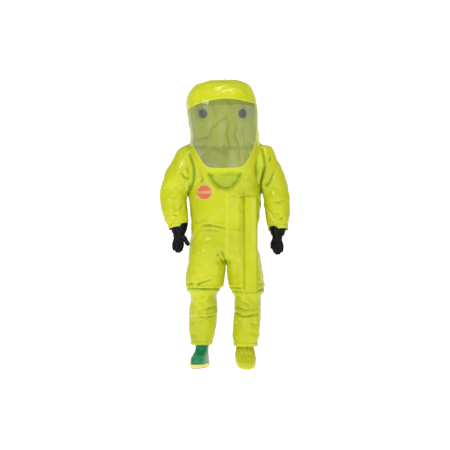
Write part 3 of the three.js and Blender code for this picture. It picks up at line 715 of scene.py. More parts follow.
def sculpted(mesh, cut):
    """Adds creases, the sunken bib and the flat ground of the zip to the settled cloth."""
    co, normals = coordinates(mesh), vertex_normals(mesh)
    free = smoothstep(shield_reach(cut), 0.010, 0.05)
    for side in SIDES:
        past = beyond(cut, cuff_plane(side))
        free *= 1 - arm_points(cut, side) * smoothstep(past, -0.04, -0.012)
        flare = arm_points(cut, side) * smoothstep(past, -0.16, -0.01)
        co = co + normals * (CUFF_FLARE * flare)[:, None]
        co[:, 0] += CUFF_SHIFT[side] * flare
    co = co + normals * (fold_noise(cut) * free * FOLD_DEPTH)[:, None]
    back = smoothstep(cut[:, 1], 0.06, 0.14) * smoothstep(cut[:, 2], 1.34, 1.42)
    near_valve = np.minimum(*(distance(cut, valve_frame(side)[0]) for side in SIDES))
    back *= smoothstep(near_valve, 0.06, 0.11)
    ridges = np.array([noise.noise(Vector((x * 14, y * 14, z * 9 + x * 6))) for x, y, z in cut])
    co = co - normals * (back * HOOD_CREASES * (1 - np.abs(ridges) * 4).clip(0, 1))[:, None]
    front = (normals[:, 1] < 0.25) & (cut[:, 1] < 0.12)
    for line, depth, half_width in FRONT_CREASES:
        co = crease(co, normals, front, line, depth, half_width)
    co[:, 1] += BIB_DEPTH * bib_dent(cut)
    aside = cut[:, 0] - CROTCH_X
    full = hump(cut[:, 2], 0.50, 0.55, 0.66, 0.73) * hump(np.abs(aside), 0.0, 0.02, 0.04, 0.13)
    co[:, 0] -= np.sign(aside) * THIGH_FULLNESS * full
    zone = 1 - smoothstep(np.abs(cut[:, 0] - ZIP_AT), 0.030, 0.085)
    zone *= hump(cut[:, 2], 0.42, 0.50, 1.12, 1.20) * (normals[:, 1] < -0.1)
    co[:, 1] += zone * (cut[:, 1] < 0) * (ZIP_FRONT - co[:, 1])
    set_coordinates(mesh, cleared(co, "waist_belt"))


def cleared(co, name, gap=0.005, fade=0.035):
    """Points of the trunk moved out level until they lie outside a CAD node that goes round it."""
    tree = surface_tree(frame["nodes"][name].data)
    low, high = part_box(name)
    middle = (low + high) / 2
    near = (co[:, 2] > low.z - fade) & (co[:, 2] < high.z + fade) & (np.abs(co[:, 0]) < ARM_X)
    for i in np.nonzero(near)[0]:
        level = min(max(co[i, 2], low.z + 0.002), high.z - 0.002)
        way = Vector((co[i, 0] - middle.x, co[i, 1] - middle.y, 0))
        reach = way.length
        way.normalize()
        start = Vector((middle.x, middle.y, level)) + way
        hit = tree.ray_cast(start, -way)[0]
        if hit is None:
            continue
        short = 1 - (hit - start).length + gap - reach
        if short > 0:
            ease = 1 - smoothstep(abs(co[i, 2] - level), 0, fade)
            co[i] += np.array(way) * short * float(ease)
    return co


def fold_shade_mask(places, normals, faces):
    """How far each point lies sunk below its surroundings, 0 on the open cloth and 1 deep in a fold: the mask
    of the painted shade in the folds.
    """
    pairs = np.array([(a, b) for face in faces for a, b in zip(face, face[1:] + face[:1])])
    count = np.bincount(pairs.ravel(), minlength=len(places))[:, None]
    soft = places
    for _ in range(FOLD_SHADE_ROUNDS):
        total = np.zeros_like(places)
        np.add.at(total, pairs[:, 0], soft[pairs[:, 1]])
        np.add.at(total, pairs[:, 1], soft[pairs[:, 0]])
        soft = total / count
    return smoothstep(((soft - places) * normals).sum(1), *FOLD_SHADE_DEPTHS)


def bib_dent(co):
    """How deep the bib is sunk at each point: most a little above its lower edge, nothing outside it."""
    flat = co[:, [0, 2]]
    inside = within(flat, BIB_LOOP) & (co[:, 1] < 0)
    return inside * smoothstep(away(flat, BIB_LINE), 0.0, 0.035) * smoothstep(shield_reach(co), 0.010, 0.045)


# ---------------------------------------------------------------- cutting the coverall into its panels
def subdivided(made, co):
    """The mesh of made, divided once more, with its vertices at co."""
    copy = add_object("copy", made.data.copy())
    set_coordinates(copy.data, co)
    level = copy.modifiers.new("level", "SUBSURF")
    level.levels = level.render_levels = 1
    mesh = apply_modifiers(copy).data
    bpy.data.objects.remove(copy)
    return mesh


def seam_planes():
    """Every straight seam and hem, as a point and a normal in the shape that the cloth was cut for."""
    planes = [((0, 0, z), UP) for z in (HOOD_SEAM_Z, LEG_SEAM_Z, KNEE_SEAM_Z, *SHIN_SEAM_Z.values())]
    planes += [((0, 0, HOOD_SEAM_Z + s * TAPE_HALF), UP) for s in (-1, 1)]
    planes += [((FRONT_SEAM_X + s * TAPE_HALF, 0, 0), Vector((1, 0, 0))) for s in (-1, 0, 1)]
    planes += [((0, SIDE_SEAM_Y + s * TAPE_HALF, 0), Vector((0, 1, 0))) for s in (-1, 0, 1)]
    for side in SIDES:
        planes += [((OUT[side] * (ARM_X + s * 2 * TAPE_HALF), 0, 0), Vector((1, 0, 0))) for s in (0, 1)]
        planes.append(elbow_plane(side))
        at, way = cuff_plane(side)
        planes += [(at, way), (at - way * HEM_WIDTH, way)]
        planes += [((0, 0, hem_z(side) + rise), UP) for rise in (0.001, HEM_WIDTH)]
        planes.append(((0, 0, SHIN_SEAM_Z[side] + 2 * TAPE_HALF), UP))
    return planes


class Cloth:
    """The settled coverall, cut along its seams: vertices, normals, faces, and where each face was cut."""

    def __init__(self, cut, settled):
        work = bmesh.new()
        work.from_mesh(cut)
        layer = work.verts.layers.float_vector.new("settled")
        for vert, spot in zip(work.verts, coordinates(settled)):
            vert[layer] = spot
        for point, normal in seam_planes():
            geometry = work.verts[:] + work.edges[:] + work.faces[:]
            bmesh.ops.bisect_plane(work, geom=geometry, dist=1e-5, plane_co=point, plane_no=normal)
        work.verts.index_update()
        self.faces = [tuple(v.index for v in face.verts) for face in work.faces]
        self.flat = np.array([vert.co for vert in work.verts])
        places = np.array([vert[layer] for vert in work.verts])
        work.free()
        mesh = bpy.data.meshes.new("settled")
        mesh.from_pydata(places, [], self.faces)
        self.normals = vertex_normals(mesh)
        self.places = places
        self.middles = np.array([self.flat[list(face)].mean(0) for face in self.faces])
        self.pattern = loosened(self.flat)
        mesh.vertices.foreach_set("co", self.pattern.ravel())
        self.areas = np.array([face.area for face in mesh.polygons])
        # painted shade: the film is painted darker green deep in the folds and, a little less, over the
        # sunken bib, which faces down
        self.painted_fold_shade = np.maximum(fold_shade_mask(places, self.normals, self.faces), 0.38 * bib_dent(self.flat))

    def piece(self, name, chosen, lift=0.0, thick=0.0):
        """The chosen faces as an object of their own, moved out by lift, that shades as part of the whole."""
        kept = [self.faces[i] for i in np.nonzero(chosen)[0]]
        used = sorted({v for face in kept for v in face})
        place = {v: i for i, v in enumerate(used)}
        mesh = bpy.data.meshes.new(name)
        normals = self.normals[used]
        mesh.from_pydata(self.places[used] + normals * lift, [], [[place[v] for v in face] for face in kept])
        shade_smooth(mesh)
        # the painted shade goes with each piece to its material
        mesh.attributes.new("painted_fold_shade", "FLOAT", "POINT").data.foreach_set("value", self.painted_fold_shade[used])
        made = add_object(name, mesh)
        if thick:
            return apply_modifiers(walled(made, thick, offset=1))
        mesh.normals_split_custom_set_from_vertices([tuple(n) for n in normals])
        return made


def panel_names(cloth):
    """The name of the panel that each face belongs to, or an empty name where the cloth is cut away."""
    co = cloth.middles
    x, y, z = co.T
    names = np.full(len(co), "", dtype=object)
    leg = np.where(x < 0, "right", "left")
    for side in SIDES:
        mine = leg == side
        seam, hem = SHIN_SEAM_Z[side], hem_z(side) + 0.001
        names[mine & (z < LEG_SEAM_Z)] = f"leg_upper_{side}"
        names[mine & (z < KNEE_SEAM_Z)] = f"leg_lower_{side}"
        names[mine & (z < seam)] = f"splash_flap_{side}"
        names[mine & (z < hem)] = ""
    torso = (z > LEG_SEAM_Z) & (z < HOOD_SEAM_Z)
    names[torso & (y > SIDE_SEAM_Y)] = "torso_back"
    names[torso & (y < SIDE_SEAM_Y) & (x < FRONT_SEAM_X)] = "torso_front_right"
    names[torso & (y < SIDE_SEAM_Y) & (x > FRONT_SEAM_X)] = "torso_front_left"
    bib = within(co[:, [0, 2]], BIB_LOOP)
    names[torso & bib & (y < 0)] = "chest_bib"
    names[z > HOOD_SEAM_Z] = "hood"
    names[shield_reach(co) < -0.002] = ""
    for side in SIDES:
        arm = arm_points(co, side)
        names[arm] = f"sleeve_upper_{side}"
        names[arm & (beyond(co, elbow_plane(side)) > 0)] = f"sleeve_lower_{side}"
        names[arm & (beyond(co, cuff_plane(side)) > 0)] = ""
    return names


REPLACED = {"hood": "hood_shell"}


def place_panel(made, name):
    """Makes a panel, or a tape on it, ride on the trunk, or on its shin for a splash flap; a sleeve's or
    lower leg's panel is only fixed in place and follows no body.
    """
    side = name.rsplit("_", 1)[-1]
    if name.startswith("sleeve_upper"):
        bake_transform(made)
    elif name.startswith("sleeve_lower"):
        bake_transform(made)
    elif name.startswith("leg_lower"):
        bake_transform(made)
    elif name.startswith("splash_flap"):
        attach(made, f"shin_{side}")
    else:
        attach(made, "trunk")


def make_coverall(lime, tape):
    """The whole garment of lime cloth: draped as one, then cut into its panels with tapes over the seams."""
    made = filled_shape()
    cut = coordinates(made.data)
    settled = drape(made)
    arms = {side: arm_weights(made.data, side) for side in SIDES}
    for side in SIDES:
        turned = swing(settled, side, arms[side], -SWING)
        settled = np.where(arms[side][:, None] > 1e-4, turned, settled)
    settled = eased(made.data, settled)
    fine_cut, fine = subdivided(made, cut), subdivided(made, settled)
    sculpted(fine, coordinates(fine_cut))
    cloth = Cloth(fine_cut, fine)
    bpy.data.objects.remove(made)
    names = panel_names(cloth)
    for name in sorted(set(names) - {""}):
        panel = cloth.piece(name + "_cloth", names == name)
        panel.data.materials.append(lime)
        node = REPLACED.get(name, name)
        place_panel(panel, name)
        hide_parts(node)
    make_tapes(cloth, names, tape)
    return cloth


def make_tapes(cloth, names, material):
    """The welded tapes over the seams and the turned hems, which follow the cloth's every fold."""
    x, _, z = cloth.middles.T
    trunk = np.isin(names, ["torso_front_right", "torso_front_left", "torso_back", "hood"])
    front = np.isin(names, ["torso_front_right", "torso_front_left"])
    bands = {
        "neck_tape": (trunk & (np.abs(z - HOOD_SEAM_Z) < TAPE_HALF), "torso_back"),
        "front_tape": (front & (np.abs(x - FRONT_SEAM_X) < TAPE_HALF), "torso_front_right"),
    }
    for side in SIDES:
        past = beyond(cloth.middles, cuff_plane(side))
        for band, panel, near in (
            ("armhole_tape", "sleeve_upper", x * OUT[side] < ARM_X + 2 * TAPE_HALF),
            ("cuff_hem", "sleeve_lower", past > -HEM_WIDTH),
            ("splash_hem", "splash_flap", z < hem_z(side) + HEM_WIDTH),
            ("shin_tape", "leg_lower", z < SHIN_SEAM_Z[side] + 2 * TAPE_HALF),
        ):
            bands[f"{band}_{side}"] = ((names == f"{panel}_{side}") & near, f"{panel}_{side}")
    for name, (chosen, panel) in bands.items():
        band = cloth.piece(name, chosen, lift=0.0004, thick=HEM_THICK if "hem" in name else TAPE_THICK)
        band.data.materials.append(material)
        place_panel(band, panel)


# ---------------------------------------------------------------- pieces laid on the suit
def surface_tree(mesh):
    return BVHTree.FromPolygons([v.co for v in mesh.vertices], [tuple(p.vertices) for p in mesh.polygons])


def on_front(tree, x, z):
    """The place and normal that a ray along +Y first meets, or the nearest ones past the silhouette."""
    place, normal, _, _ = tree.ray_cast(Vector((x, -1, z)), Vector((0, 1, 0)))
    if place is None:
        place, normal, _, _ = tree.find_nearest(Vector((x, -0.05, z)))
    return place, (normal if normal.y < 0 else -normal)


def evened(loop, count, rounds=0):
    """A closed outline with count even steps, its corners rounded a little."""
    closed = np.concatenate([loop, loop[:1]])
    length = np.concatenate([[0], np.cumsum(np.linalg.norm(np.diff(closed, axis=0), axis=1))])
    at = np.linspace(0, length[-1], count + 1)[:-1]
    line = np.stack([np.interp(at, length, closed[:, k]) for k in range(closed.shape[1])], 1)
    for _ in range(rounds):
        line = softened(line)
    return line


def fan(name, outline_points, centre, shares, tree, lift):
    """A patch over the front: its outline shrunk ring by ring to its centre, each point laid on the tree."""
    verts = []
    for share in shares:
        for x, z in centre + (outline_points - centre) * share:
            place, normal = on_front(tree, x, z)
            verts.append(place + normal * lift)
    return mesh_of(name, verts, ring_faces(len(shares), len(outline_points)))


def ribbon(name, line, normals, half, thick, closed=False):
    """A flat tape with rounded edges along a line, lying square to its normals."""
    section = [(-1, 0), (-0.93, 0.75), (-0.6, 1), (0.6, 1), (0.93, 0.75), (1, 0)]
    line = np.array([tuple(p) for p in line])
    ahead = np.roll(line, -1, 0) - np.roll(line, 1, 0)
    if not closed:
        ahead[0], ahead[-1] = line[1] - line[0], line[-1] - line[-2]
    verts = []
    for point, way, normal in zip(line, ahead, normals):
        up = Vector(normal).normalized()
        across = up.cross(Vector(way)).normalized()
        verts += [Vector(point) + across * (u * half) + up * (v * thick) for u, v in section]
    faces = ring_faces(len(line), len(section))
    if closed:
        last = (len(line) - 1) * len(section)
        faces += [(last + i, last + (i + 1) % 6, (i + 1) % 6, i) for i in range(6)]
    return mesh_of(name, verts, faces)


def place_rigid(mesh, finish, body, slot, *nodes):
    """Shows a finished mesh that rides on one body, and stands for these CAD nodes."""
    made = add_object(mesh.name, mesh)
    made.data.materials.append(finish)
    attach(made, body)
    if nodes:
        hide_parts(*nodes)
    return made


def make_shield(tape):
    """The wrap-round face shield and the tape that binds its edge."""
    tree = surface_tree(loft("front", trunk_rings(120)))
    edge = evened(SHIELD_LOOP, 150, 4)
    shares = np.concatenate([[0.004], np.linspace(0.05, 1, 30)])
    glass = fan("face_shield_film", edge, np.array([-0.010, 1.54]), shares, tree, 0.0004)
    place_rigid(glass, shield_laminate(), "trunk", "clear_shield", "face_shield")
    spots = [on_front(tree, x, z) for x, z in edge]
    line = np.array([tuple(place) for place, _ in spots])
    turns = np.array([tuple(normal) for _, normal in spots])
    for _ in range(3):
        line, turns = softened(line), softened(turns)
    binding = ribbon("shield_binding_tape", line + turns * 0.0006, turns, SHIELD_TAPE, 0.0022, closed=True)
    place_rigid(binding, tape, "trunk", "lime_tape", "face_shield_binding")


def make_bib_piping(tree, tape):
    spots = [on_front(tree, x, z) for x, z in BIB_LINE[8:-8]]
    line = [place + normal * 0.0004 for place, normal in spots]
    piping = ribbon("bib_piping", line, [normal for _, normal in spots], 0.0035, 0.0022)
    place_rigid(piping, tape, "trunk", "lime_tape")


def make_label(tree):
    """The eight-sided patch on the chest, with a pale border and a plain bar where its lettering would be."""
    low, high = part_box("chest_label")
    centre = np.array([(low.x + high.x) / 2, (low.z + high.z) / 2 - LABEL_DROP])
    radius = (high.z - low.z) / 2 / math.cos(math.pi / 8)
    turns = angles(8, 0.5)
    corners = centre + radius * np.stack([np.cos(turns), np.sin(turns)], 1)
    edge = evened(corners, 64)
    shares = np.concatenate([[0.01], np.linspace(0.1, 0.88, 8), [0.89, 0.94, 1.0]])
    patch = fan("chest_label_patch", edge, centre, shares, tree, 0.0014)
    made = place_rigid(patch, label_print(centre[1]), "trunk", "label", "chest_label")
    made.data.materials.append(label_border())
    border = (len(shares) - 3) * len(edge)
    for face in made.data.polygons:
        face.material_index = int(face.index >= border - len(edge))
    walled(made, 0.0009)


# ---------------------------------------------------------------- zip and storm flap
def make_storm_flap(tree, finish):
    """The cloth flap over the zip: sewn along its inner edge, lying free along its outer one."""
    low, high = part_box("storm_flap")
    across = np.linspace(low.x + 0.001, high.x + FLAP_OVER, 17)
    along = np.linspace(low.z, high.z, 110)
    ground = np.array([[on_front(tree, x, z)[0].y for x in across] for z in along])
    for _ in range(8):
        ground[1:-1] = (ground[:-2] + 2 * ground[1:-1] + ground[2:]) / 4
    share = (across - across[0]) / (across[-1] - across[0])
    rise, edge = smoothstep(share, 0.45, 0.9), smoothstep(across - high.x, -0.003, FLAP_OVER)
    roof = low.y + 0.0006 + 0.007 * rise + 0.05 * edge
    rows = []
    for depths, z in zip(ground, along):
        rows.append([])
        for x, y, u, top in zip(across, depths, share, roof):
            sewn, free = min(y - 0.0016, low.y + 0.0022), min(y - 0.0035, top)
            depth = sewn + (free - sewn) * float(smoothstep(u, 0.0, 0.25))
            rows[-1].append((x, depth + 0.0016 * u * noise.noise(Vector((x * 9, 3, z * 11))), z))
    made = place_rigid(strip("storm_flap_cloth", rows), finish, "storm_flap", "lime_fabric", "storm_flap")
    walled(made, 0.0018)
    rows = np.array(rows)
    seams = [rows[:, 1], rows[:, -2], rows[1], rows[-2]]
    stitches = stitch_rows("flap_stitches", seams, Vector((0, -1, 0)), 0.0012)
    thread = place_rigid(stitches, thread_finish(), "storm_flap", "lime_tape")


def stitch_rows(name, lines, up, lift, length=0.0042, pitch=0.0065, radius=0.0005):
    """Lock stitches: short round-ended threads along lines."""
    verts, faces = [], []
    for line in lines:
        line = np.array(line)
        reach = np.concatenate([[0], np.cumsum(np.linalg.norm(np.diff(line, axis=0), axis=1))])
        for at in np.arange(pitch, reach[-1] - pitch, pitch):
            ends = [[np.interp(at + s * length / 2, reach, line[:, k]) for k in range(3)] for s in (-1, 1)]
            a, b = (Vector(end) + up * lift for end in ends)
            way = (b - a).normalized()
            side = way.cross(up).normalized()
            first = len(verts)
            for share, size in ((0, 0.2), (0.2, 1), (0.8, 1), (1, 0.2)):
                spot = a.lerp(b, share)
                verts += [spot + side * radius * size, spot + up * radius * size, spot - side * radius * size]
            faces += [tuple(first + v for v in face) for face in ring_faces(4, 3)]
    return mesh_of(name, verts, faces)


def make_placket(finish):
    """The strip of cloth that carries the zip, just in front of the torso."""
    low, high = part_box("zipper_placket")
    rows = []
    for z in np.linspace(low.z, high.z, 90):
        rows.append([])
        for x in np.linspace(low.x, high.x, 9):
            edge = abs(x - ZIP_AT) / (high.x - low.x) * 2
            wave = 0.0004 * noise.noise(Vector((x * 30, 0, z * 30)))
            rows[-1].append((x, low.y + 0.0006 + 0.004 * edge**6 + wave, z))
    made = place_rigid(strip("zip_placket_cloth", rows), finish, "trunk", "lime_fabric", "zipper_placket")
    walled(made, WALL, offset=1)


def make_zip_teeth(finish):
    """Two rows of moulded teeth that hook into each other."""
    low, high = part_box("zipper_chain")
    middle = (low.y + high.y) / 2
    verts, faces = [], []
    for k, z in enumerate(np.arange(low.z + 0.002, high.z - 0.002, TOOTH_PITCH)):
        side = 1 if k % 2 else -1
        for share, tall, deep in ((-0.0036, 0.8, 0.8), (0.0006, 1.0, 1.0), (0.0018, 0.7, 0.75)):
            x = ZIP_AT - side * share
            half_z, half_y = TOOTH_PITCH * 0.42 * tall, (high.y - low.y) / 2 * deep
            corners = ((-half_y, -half_z), (half_y, -half_z), (half_y, half_z), (-half_y, half_z))
            verts += [(x, middle + dy, z + dz) for dy, dz in corners]
        first = len(verts) - 12
        faces += [tuple(first + v for v in face) for face in ring_faces(3, 4)]
        faces += [(first, first + 1, first + 2, first + 3), (first + 8, first + 11, first + 10, first + 9)]
    place_rigid(mesh_of("zip_teeth", verts, faces), finish, "trunk", "brass", "zipper_chain")


# ---------------------------------------------------------------- valve covers
def valve_frame(side):
    """The hood's wall at a valve: the spot, the way out and the way across."""
    low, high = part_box(f"valve_nut_{side}")
    turn = -OUT[side] * VALVE_TURN
    out = Vector((-math.sin(turn), math.cos(turn), 0))
    return (low + high) / 2 - out * 0.004, out, UP.cross(out)


def make_valve_cover(side, finish):
    """A shallow pocket of cloth over the valve, sewn along its top and sides and open below."""
    spot, out, across = valve_frame(side)
    profile = spline([(0.0008, 0.062), (0.010, 0.055), (0.026, 0.038), (0.0295, 0.0), (0.0285, -0.052)], 26)
    rows = []
    for stand, rise in profile:
        rows.append([])
        for u in np.linspace(-1, 1, 21):
            drop = (1 - abs(u) ** 5) * (1 + 0.05 * noise.noise(Vector((u * 2, rise * 40, 1))))
            rows[-1].append(spot + across * (u * 0.046) + UP * rise + out * (0.0008 + stand * drop))
    mesh, body = strip(f"valve_cover_cloth_{side}", rows), f"valve_cover_{side}"
    made = walled(place_rigid(mesh, finish, body, "lime_fabric", body), WALL)


# ---------------------------------------------------------------- gloves
# Each finger's knuckle, middle joint and tip, as offsets from the wrist with the thumb at +x, and its radius.
FINGERS = (
    ((-0.029, -0.008, -0.066), (-0.031, -0.018, -0.086), (-0.027, -0.030, -0.104), 0.0104),
    ((-0.011, -0.010, -0.072), (-0.011, -0.022, -0.096), (-0.009, -0.031, -0.117), 0.0114),
    ((0.009, -0.010, -0.072), (0.009, -0.021, -0.096), (0.008, -0.029, -0.119), 0.0114),
    ((0.027, -0.008, -0.066), (0.027, -0.017, -0.089), (0.021, -0.023, -0.108), 0.0109),
)
# The right hand's thumb stands out from the hand, and the left one's lies along it.
THUMBS = {
    "right": ((0.022, -0.010, -0.010), (0.044, -0.020, -0.034), (0.063, -0.032, -0.066), 0.0180),
    "left": ((0.024, -0.012, -0.026), (0.036, -0.024, -0.052), (0.038, -0.034, -0.078), 0.0138),
}
PALM = ((0.002, 0.0, 0.022, 0.041), (0.001, -0.002, 0.002, 0.038), (0.0, -0.003, -0.018, 0.034))
# The gauntlet: how far past the sleeve's end, and its radius there.
GAUNTLET = ((-0.034, 0.0540), (-0.002, 0.0530), (0.012, 0.0515), (0.026, 0.0475), (0.044, 0.0420))


def voxel_blob(name, balls, voxel, rounds):
    """One smooth skin over balls, each given as a centre and a radius."""
    work = bmesh.new()
    for centre, radius in balls:
        spot = Matrix.Translation(centre)
        bmesh.ops.create_icosphere(work, subdivisions=2, radius=radius, matrix=spot)
    mesh = bpy.data.meshes.new(name)
    work.to_mesh(mesh)
    work.free()
    made = remeshed(add_object(name, mesh), voxel, rounds)
    shade_smooth(made.data)
    return made


def hand_balls(side):
    """The balls that a glove's hand is made of, with its thumb towards the body."""
    wrist = pivot(f"wrist_bend_{side}")

    def place(x, y, z):
        return wrist + Vector((-OUT[side] * x, y, z))

    balls = [(place(x, y, z), radius) for x, y, z, radius in PALM]
    for down in np.linspace(0, 1, 6):
        for column in (-0.026, -0.009, 0.009, 0.025):
            spread = 0.55 + 0.45 * down
            balls.append((place(column * spread, -0.005 - 0.003 * down, -0.030 - 0.040 * down), 0.0165))
    for knuckle, joint, tip, radius in (*FINGERS, THUMBS[side]):
        line = spline([knuckle, joint, tip], 15)
        for k, spot in enumerate(line):
            swell = 1.06 - 0.20 * k / 14 + 0.05 * math.cos(k * math.pi / 3.5)
            balls.append((place(*spot), radius * swell))
    return balls


def make_glove(side, finish):
    """A loose black rubber glove, with the creases that its fingers bend by, and its gauntlet."""
    hand = voxel_blob(f"glove_{side}", hand_balls(side), 0.0026, 5)
    co = coordinates(hand.data)
    emboss(hand.data, 0.0011 * noise_at(co, (60, 60, 150)) - 0.0010 * np.abs(noise_at(co, (130, 130, 130))))
    hand.data.materials.append(finish)
    wrist = pivot(f"wrist_bend_{side}")
    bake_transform(hand)
    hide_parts(f"glove_hand_{side}")
    cuff = Vector(CUFFS[side]) + Vector((CUFF_SHIFT[side], 0, 0))
    down = (wrist - cuff).normalized()
    profile = spline(GAUNTLET, 34)
    turns = angles(56)
    across = down.cross(Vector((0, 1, 0))).normalized()
    ways = np.outer(np.cos(turns), across) + np.outer(np.sin(turns), across.cross(down).normalized())
    rings = []
    for past, radius in profile:
        fold = 0.0010 * math.sin(past * 520) * float(smoothstep(past, 0.0, 0.02))
        wobble = 1 + 0.02 * np.sin(3 * turns + past * 40) * float(smoothstep(past, 0.0, 0.03))
        reach = (radius + fold) * wobble
        rings.append(np.array(cuff + down * past) + ways * reach[:, None])
    mesh = loft(f"gauntlet_{side}", rings, start=False, end=False)
    walled(place_rigid(mesh, finish, f"forearm_{side}", "black_rubber", f"glove_gauntlet_{side}"), 0.0018)


# ---------------------------------------------------------------- boot and socks
BOOT = {"heel": (-0.138, 0.122), "turn": math.radians(-11), "length": 0.292, "width": 0.106}
SOCK = {"heel": (0.125, 0.008), "turn": math.radians(5), "length": 0.262, "width": 0.138}
SOLE = 0.026
SHAFT = 0.300  # the height of the boot's rim
FOOT_SIDES = 72


def foot_ways(foot):
    """The level directions along and across a foot."""
    along = np.array([math.sin(foot["turn"]), -math.cos(foot["turn"])])
    return along, np.array([-along[1], along[0]])


def foot_rings(foot, profile, power, count, grow=0.0):
    """Level hoops of a foot, whose rows give z, back and front as shares of its length, and its width."""
    along, across = foot_ways(foot)
    turns = angles(FOOT_SIDES)
    bulge = [np.sign(f(turns)) * np.abs(f(turns)) ** (2 / power) for f in (np.cos, np.sin)]
    rings = []
    for z, back, front, width in spline(profile, count) if count else profile:
        middle = np.array(foot["heel"]) + along * foot["length"] * (back + front) / 2
        half = foot["length"] * (front - back) / 2 + grow
        flat = middle + np.outer(bulge[0] * (width / 2 + grow), across) - np.outer(bulge[1] * half, along)
        rings.append(np.column_stack([flat, np.full(FOOT_SIDES, z)]))
    return rings


def foot_share(foot, co):
    """How far along the foot points lie, from 0 at the heel to 1 at the toe."""
    return (co[:, :2] - np.array(foot["heel"])) @ foot_ways(foot)[0] / foot["length"]


def make_boot():
    """A moulded safety boot: toe cap, ankle ribs, welt and a cleated sole."""
    width = BOOT["width"]
    profile = [
        (SOLE + 0.0004, 0.03, 0.97, width - 0.008), (SOLE + 0.022, 0.02, 0.98, width - 0.002),
        (SOLE + 0.044, 0.03, 0.93, width - 0.008), (SOLE + 0.062, 0.05, 0.72, width - 0.016),
        (SOLE + 0.082, 0.06, 0.52, width - 0.022), (SOLE + 0.110, 0.05, 0.46, width - 0.020),
        (SOLE + 0.160, 0.02, 0.47, width - 0.010), (SHAFT, 0.01, 0.45, width - 0.002),
    ]
    outer = foot_rings(BOOT, profile, 2.4, 90)
    inner = foot_rings(BOOT, [(z, *profile[-1][1:]) for z in (SHAFT, SHAFT - 0.03)], 2.4, 0, grow=-0.004)
    mesh = loft("boot_shell", outer + inner, end=False)
    co = coordinates(mesh)
    share, z = foot_share(BOOT, co), co[:, 2]
    cap = smoothstep(share, 0.765, 0.785) * (z < SOLE + 0.06)
    welt = np.exp(-(((z - SOLE - 0.006) / 0.003) ** 2))
    ribs = np.sin(z * 520) * hump(z, 0.095, 0.110, 0.155, 0.175) * (share > 0.2)
    outside = np.arange(len(co)) < len(outer) * FOOT_SIDES
    emboss(mesh, (0.0016 * cap + 0.0016 * welt + 0.0013 * ribs) * outside)
    place_rigid(mesh, boot_green(), "boot", "boot_green", "boot_upper")
    place_rigid(boot_sole_mesh(), boot_sole_finish(), "boot", "sole_yellow", "boot_sole")


def boot_sole_mesh():
    """The sole: a welt line above, cleats round its edge, and a raised arch."""
    width = BOOT["width"]
    wide = width + 0.002
    profile = [(0.0, 0.0, 0.99, width - 0.002), (0.010, 0.0, 1.0, wide), (SOLE, 0.0, 1.0, wide)]
    mesh = loft("boot_sole_rubber", foot_rings(BOOT, profile, 2.5, 24))
    co = coordinates(mesh)
    share, z = foot_share(BOOT, co), co[:, 2]
    out = co[:, :2] - co[:, :2].mean(0)
    turn = np.arctan2(out[:, 1], out[:, 0])
    cleat = 0.0014 * (np.sin(turn * 34) > 0) * (z < 0.014) + 0.0012 * (np.abs(z - 0.0185) < 0.0012)
    co[:, :2] -= out / np.linalg.norm(out, axis=1, keepdims=True) * cleat[:, None]
    arch = hump(share, 0.33, 0.36, 0.43, 0.46)
    co[:, 2] = np.maximum(z, arch * 0.007 * (z < 0.007))
    set_coordinates(mesh, co)
    return mesh


def make_sock(finish):
    """The left sock foot, gathered in pleats below the ankle."""
    width = SOCK["width"]
    profile = [
        (0.0, 0.16, 0.90, width - 0.068), (0.008, 0.07, 0.97, width - 0.034),
        (0.022, 0.02, 1.0, width - 0.016), (0.045, 0.0, 0.99, width - 0.006),
        (0.070, 0.0, 0.86, width - 0.005), (0.095, 0.02, 0.68, width - 0.009),
        (0.125, 0.04, 0.57, width - 0.020), (0.150, 0.04, 0.53, width - 0.026),
        (0.172, 0.03, 0.52, width - 0.022), (0.286, -0.02, 0.48, width - 0.018),
    ]
    rings = foot_rings(SOCK, profile, 2.05, 110)
    mesh = loft("sock_left_cloth", rings, end=False)
    co = coordinates(mesh)
    z = co[:, 2]
    turn = np.tile(angles(FOOT_SIDES), len(rings))
    pleats = np.abs(np.sin(8.5 * turn + 2.6 * noise_at(co, (12, 12, 9)) + z * 14)) ** 0.7 - 0.65
    creases = np.abs(noise_at(co, (30, 30, 22))) * smoothstep(z, 0.006, 0.03)
    emboss(mesh, 0.0085 * hump(z, 0.012, 0.10, 0.150, 0.20) * pleats - 0.006 * creases)
    made = walled(place_rigid(mesh, finish, "shin_left", "lime_fabric", "sock_left"), WALL)


def make_gathered_sock(finish):
    """The right sock, bunched inside the boot's shaft."""
    low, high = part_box("sock_right")
    centre, half = (low + high) / 2, (high.x - low.x) / 2
    turns = angles(60)
    rings = []
    for z in np.linspace(low.z, high.z, 60):
        share = (z - low.z) / (high.z - low.z)
        radius = half * (0.20 + 0.78 * share**0.35) - 0.003
        reach = radius + 0.0022 * np.sin(9 * turns + 24 * share) * min(1, 4 * share)
        x, y = centre.x + reach * np.cos(turns), centre.y + reach * np.sin(turns)
        rings.append(np.column_stack([x, y, np.full(len(turns), z)]))
    mesh = loft("sock_right_cloth", rings, end=False)
    made = walled(place_rigid(mesh, finish, "shin_right", "lime_fabric", "sock_right"), WALL)


